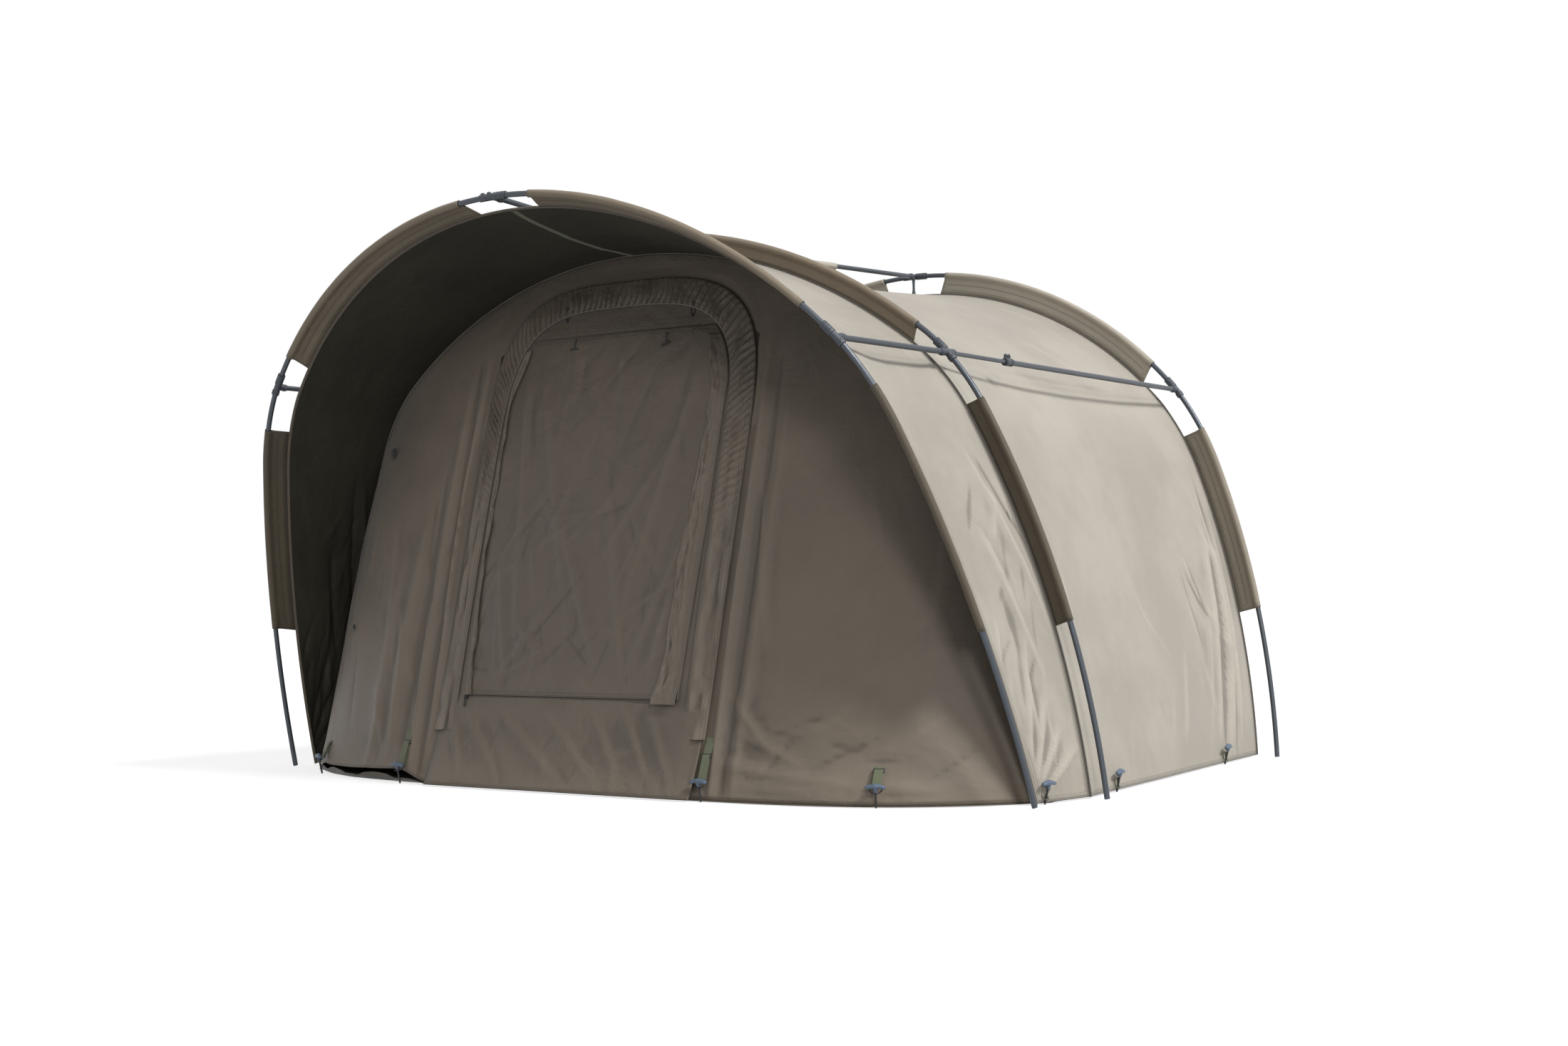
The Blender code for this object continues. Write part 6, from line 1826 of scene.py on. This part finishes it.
def make_camera():
    """The photograph's camera, solved from the tent's outlines."""
    yaw, pitch, roll = CAMERA_TURN
    forward = Vector((-sin(yaw) * cos(pitch), cos(yaw) * cos(pitch), sin(pitch)))
    level = Vector((cos(yaw), sin(yaw), 0))
    rise = level.cross(forward)
    right = level * cos(roll) + rise * sin(roll)
    up = rise * cos(roll) - level * sin(roll)
    data = bpy.data.cameras.new("camera")
    data.sensor_width = 36
    data.lens = FOCAL_PIXELS / IMAGE_SIZE[0] * data.sensor_width
    data.shift_y = (CENTRE_PIXEL_Y - IMAGE_SIZE[1] / 2) / IMAGE_SIZE[0]
    data.clip_end = 100
    camera = placed("camera", data)
    turn = Matrix((right, up, -forward)).transposed().to_4x4()
    camera.matrix_world = Matrix.Translation(CAMERA_PLACE) @ turn
    bpy.context.scene.camera = camera


def make_sun(name, aim, energy, width):
    """A sun lamp, its width in degrees."""
    data = bpy.data.lights.new(name, "SUN")
    data.energy = energy
    data.angle = radians(width)
    sun = placed(name, data)
    sun.rotation_mode = "QUATERNION"
    sun.rotation_quaternion = Vector(aim).to_track_quat("-Z", "Y")


def make_floor_and_sky():
    """A floor that catches the shadows, and a dim sky that is seen as white."""
    mesh = bpy.data.meshes.new("studio_floor")
    bm = bmesh.new()
    bmesh.ops.create_grid(bm, x_segments=1, y_segments=1, size=FLOOR_SIZE)
    bmesh.ops.translate(bm, verts=bm.verts, vec=(0, 0, -FLOOR_DROP))
    bm.to_mesh(mesh)
    bm.free()
    mesh.materials.append(floor_finish())
    placed("studio_floor", mesh)
    world = bpy.data.worlds.new("studio")
    world.use_nodes = True
    bpy.context.scene.world = world
    tree = world.node_tree
    tree.nodes.clear()
    nodes = Nodes(tree, tree.nodes.new("ShaderNodeOutputWorld"))
    sky, white = (nodes.node("Background", {"Color": WHITE, "Strength": level}) for level in (SKY_LEVEL, 1.0))
    nodes.set("Surface", nodes.node("MixShader", {0: nodes.seen(), 1: sky, 2: white}))


def make_stage():
    """The camera, the floor and sky, and both suns."""
    make_camera()
    make_floor_and_sky()
    for name, sun in SUNS.items():
        make_sun(name, *sun)
    bpy.context.scene.view_settings.view_transform = "Standard"


# Add-on parts
class TENT_OT_make_stage(bpy.types.Operator):
    """Makes the camera, the lights and the floor"""

    bl_idname = "tent.make_stage"
    bl_label = "Stage"

    def execute(self, context):
        make_stage()
        return {"FINISHED"}


class TENT_OT_make_sleeves(bpy.types.Operator):
    """Makes the pole sleeves and the seam tapes"""

    bl_idname = "tent.make_sleeves"
    bl_label = "Sleeves"

    def execute(self, context):
        make_seam_tapes()
        make_pole_sleeves()
        return {"FINISHED"}


class TENT_OT_make_canopies(bpy.types.Operator):
    """Makes the hood, the main canopy and the back wall"""

    bl_idname = "tent.make_canopies"
    bl_label = "Canopies"

    def execute(self, context):
        make_canopy("hood_cloth", "front", "hood_canopy", 90, 420)
        make_canopy("main_cloth", "main", "main_canopy", 170, 280)
        make_back_wall()
        return {"FINISHED"}


class TENT_OT_make_ridge(bpy.types.Operator):
    """Makes the ridge sleeve and the hood's ridge tape"""

    bl_idname = "tent.make_ridge"
    bl_label = "Ridge"

    def execute(self, context):
        make_ridge_cloth()
        return {"FINISHED"}


class TENT_OT_make_front_wall(bpy.types.Operator):
    """Makes the front wall"""

    bl_idname = "tent.make_front_wall"
    bl_label = "Front Wall"

    def execute(self, context):
        make_front_wall()
        return {"FINISHED"}


class TENT_OT_make_door(bpy.types.Operator):
    """Makes the door cloth and its storm flap"""

    bl_idname = "tent.make_door"
    bl_label = "Door"

    def execute(self, context):
        make_door()
        make_storm_flap()
        return {"FINISHED"}


class TENT_OT_make_window(bpy.types.Operator):
    """Makes the window cover, its zip and its toggles"""

    bl_idname = "tent.make_window"
    bl_label = "Window"

    def execute(self, context):
        make_window_cover()
        make_zip_flaps()
        make_window_zip()
        make_toggles()
        return {"FINISHED"}


class TENT_OT_make_groundsheet(bpy.types.Operator):
    """Makes the groundsheet"""

    bl_idname = "tent.make_groundsheet"
    bl_label = "Groundsheet"

    def execute(self, context):
        make_groundsheet()
        return {"FINISHED"}


class TENT_OT_make_poles(bpy.types.Operator):
    """Makes the arch poles, bars and clamps"""

    bl_idname = "tent.make_poles"
    bl_label = "Poles"

    def execute(self, context):
        make_arch_poles()
        make_bars()
        return {"FINISHED"}


class TENT_OT_make_fittings(bpy.types.Operator):
    """Makes the shoulder joints and crown hubs"""

    bl_idname = "tent.make_fittings"
    bl_label = "Fittings"

    def execute(self, context):
        make_shoulder_joints()
        make_crown_hubs()
        return {"FINISHED"}


class TENT_OT_make_pegs(bpy.types.Operator):
    """Makes the straps, rings and pegs"""

    bl_idname = "tent.make_pegs"
    bl_label = "Pegs"

    def execute(self, context):
        make_straps()
        make_hem_pegs()
        return {"FINISHED"}


OPERATORS = [
    TENT_OT_make_stage,
    TENT_OT_make_sleeves,
    TENT_OT_make_canopies,
    TENT_OT_make_ridge,
    TENT_OT_make_front_wall,
    TENT_OT_make_door,
    TENT_OT_make_window,
    TENT_OT_make_groundsheet,
    TENT_OT_make_poles,
    TENT_OT_make_fittings,
    TENT_OT_make_pegs,
]


class TENT_PT_sidebar(bpy.types.Panel):
    """Lists the tent's steps and settings"""

    bl_idname = "TENT_PT_sidebar"
    bl_label = "Bivvy Tent"
    bl_space_type = "VIEW_3D"
    bl_region_type = "UI"
    bl_category = "Tent"

    def draw(self, context):
        layout = self.layout
        for group in (sizes(), context.scene.tent_colours):
            box = layout.box()
            for name in group.__annotations__:
                box.prop(group, name)
        for operator in OPERATORS:
            layout.operator(operator.bl_idname)


CLASSES = [TentColours, TentSizes, *OPERATORS, TENT_PT_sidebar]


def register():
    for cls in CLASSES:
        bpy.utils.register_class(cls)
    bpy.types.Scene.tent_colours = bpy.props.PointerProperty(type=TentColours)
    bpy.types.Scene.tent_sizes = bpy.props.PointerProperty(type=TentSizes)


def unregister():
    del bpy.types.Scene.tent_colours
    del bpy.types.Scene.tent_sizes
    for cls in reversed(CLASSES):
        bpy.utils.unregister_class(cls)


def plain(box):
    """A box as lists of plain numbers."""
    return [[float(value) for value in corner] for corner in box]


def main():
    register()
    bpy.ops.tent.make_stage()
    bpy.ops.tent.make_sleeves()
    bpy.ops.tent.make_canopies()
    bpy.ops.tent.make_ridge()
    bpy.ops.tent.make_front_wall()
    bpy.ops.tent.make_door()
    bpy.ops.tent.make_window()
    bpy.ops.tent.make_groundsheet()
    bpy.ops.tent.make_poles()
    bpy.ops.tent.make_fittings()
    bpy.ops.tent.make_pegs()


if __name__ == "__main__":
    main()
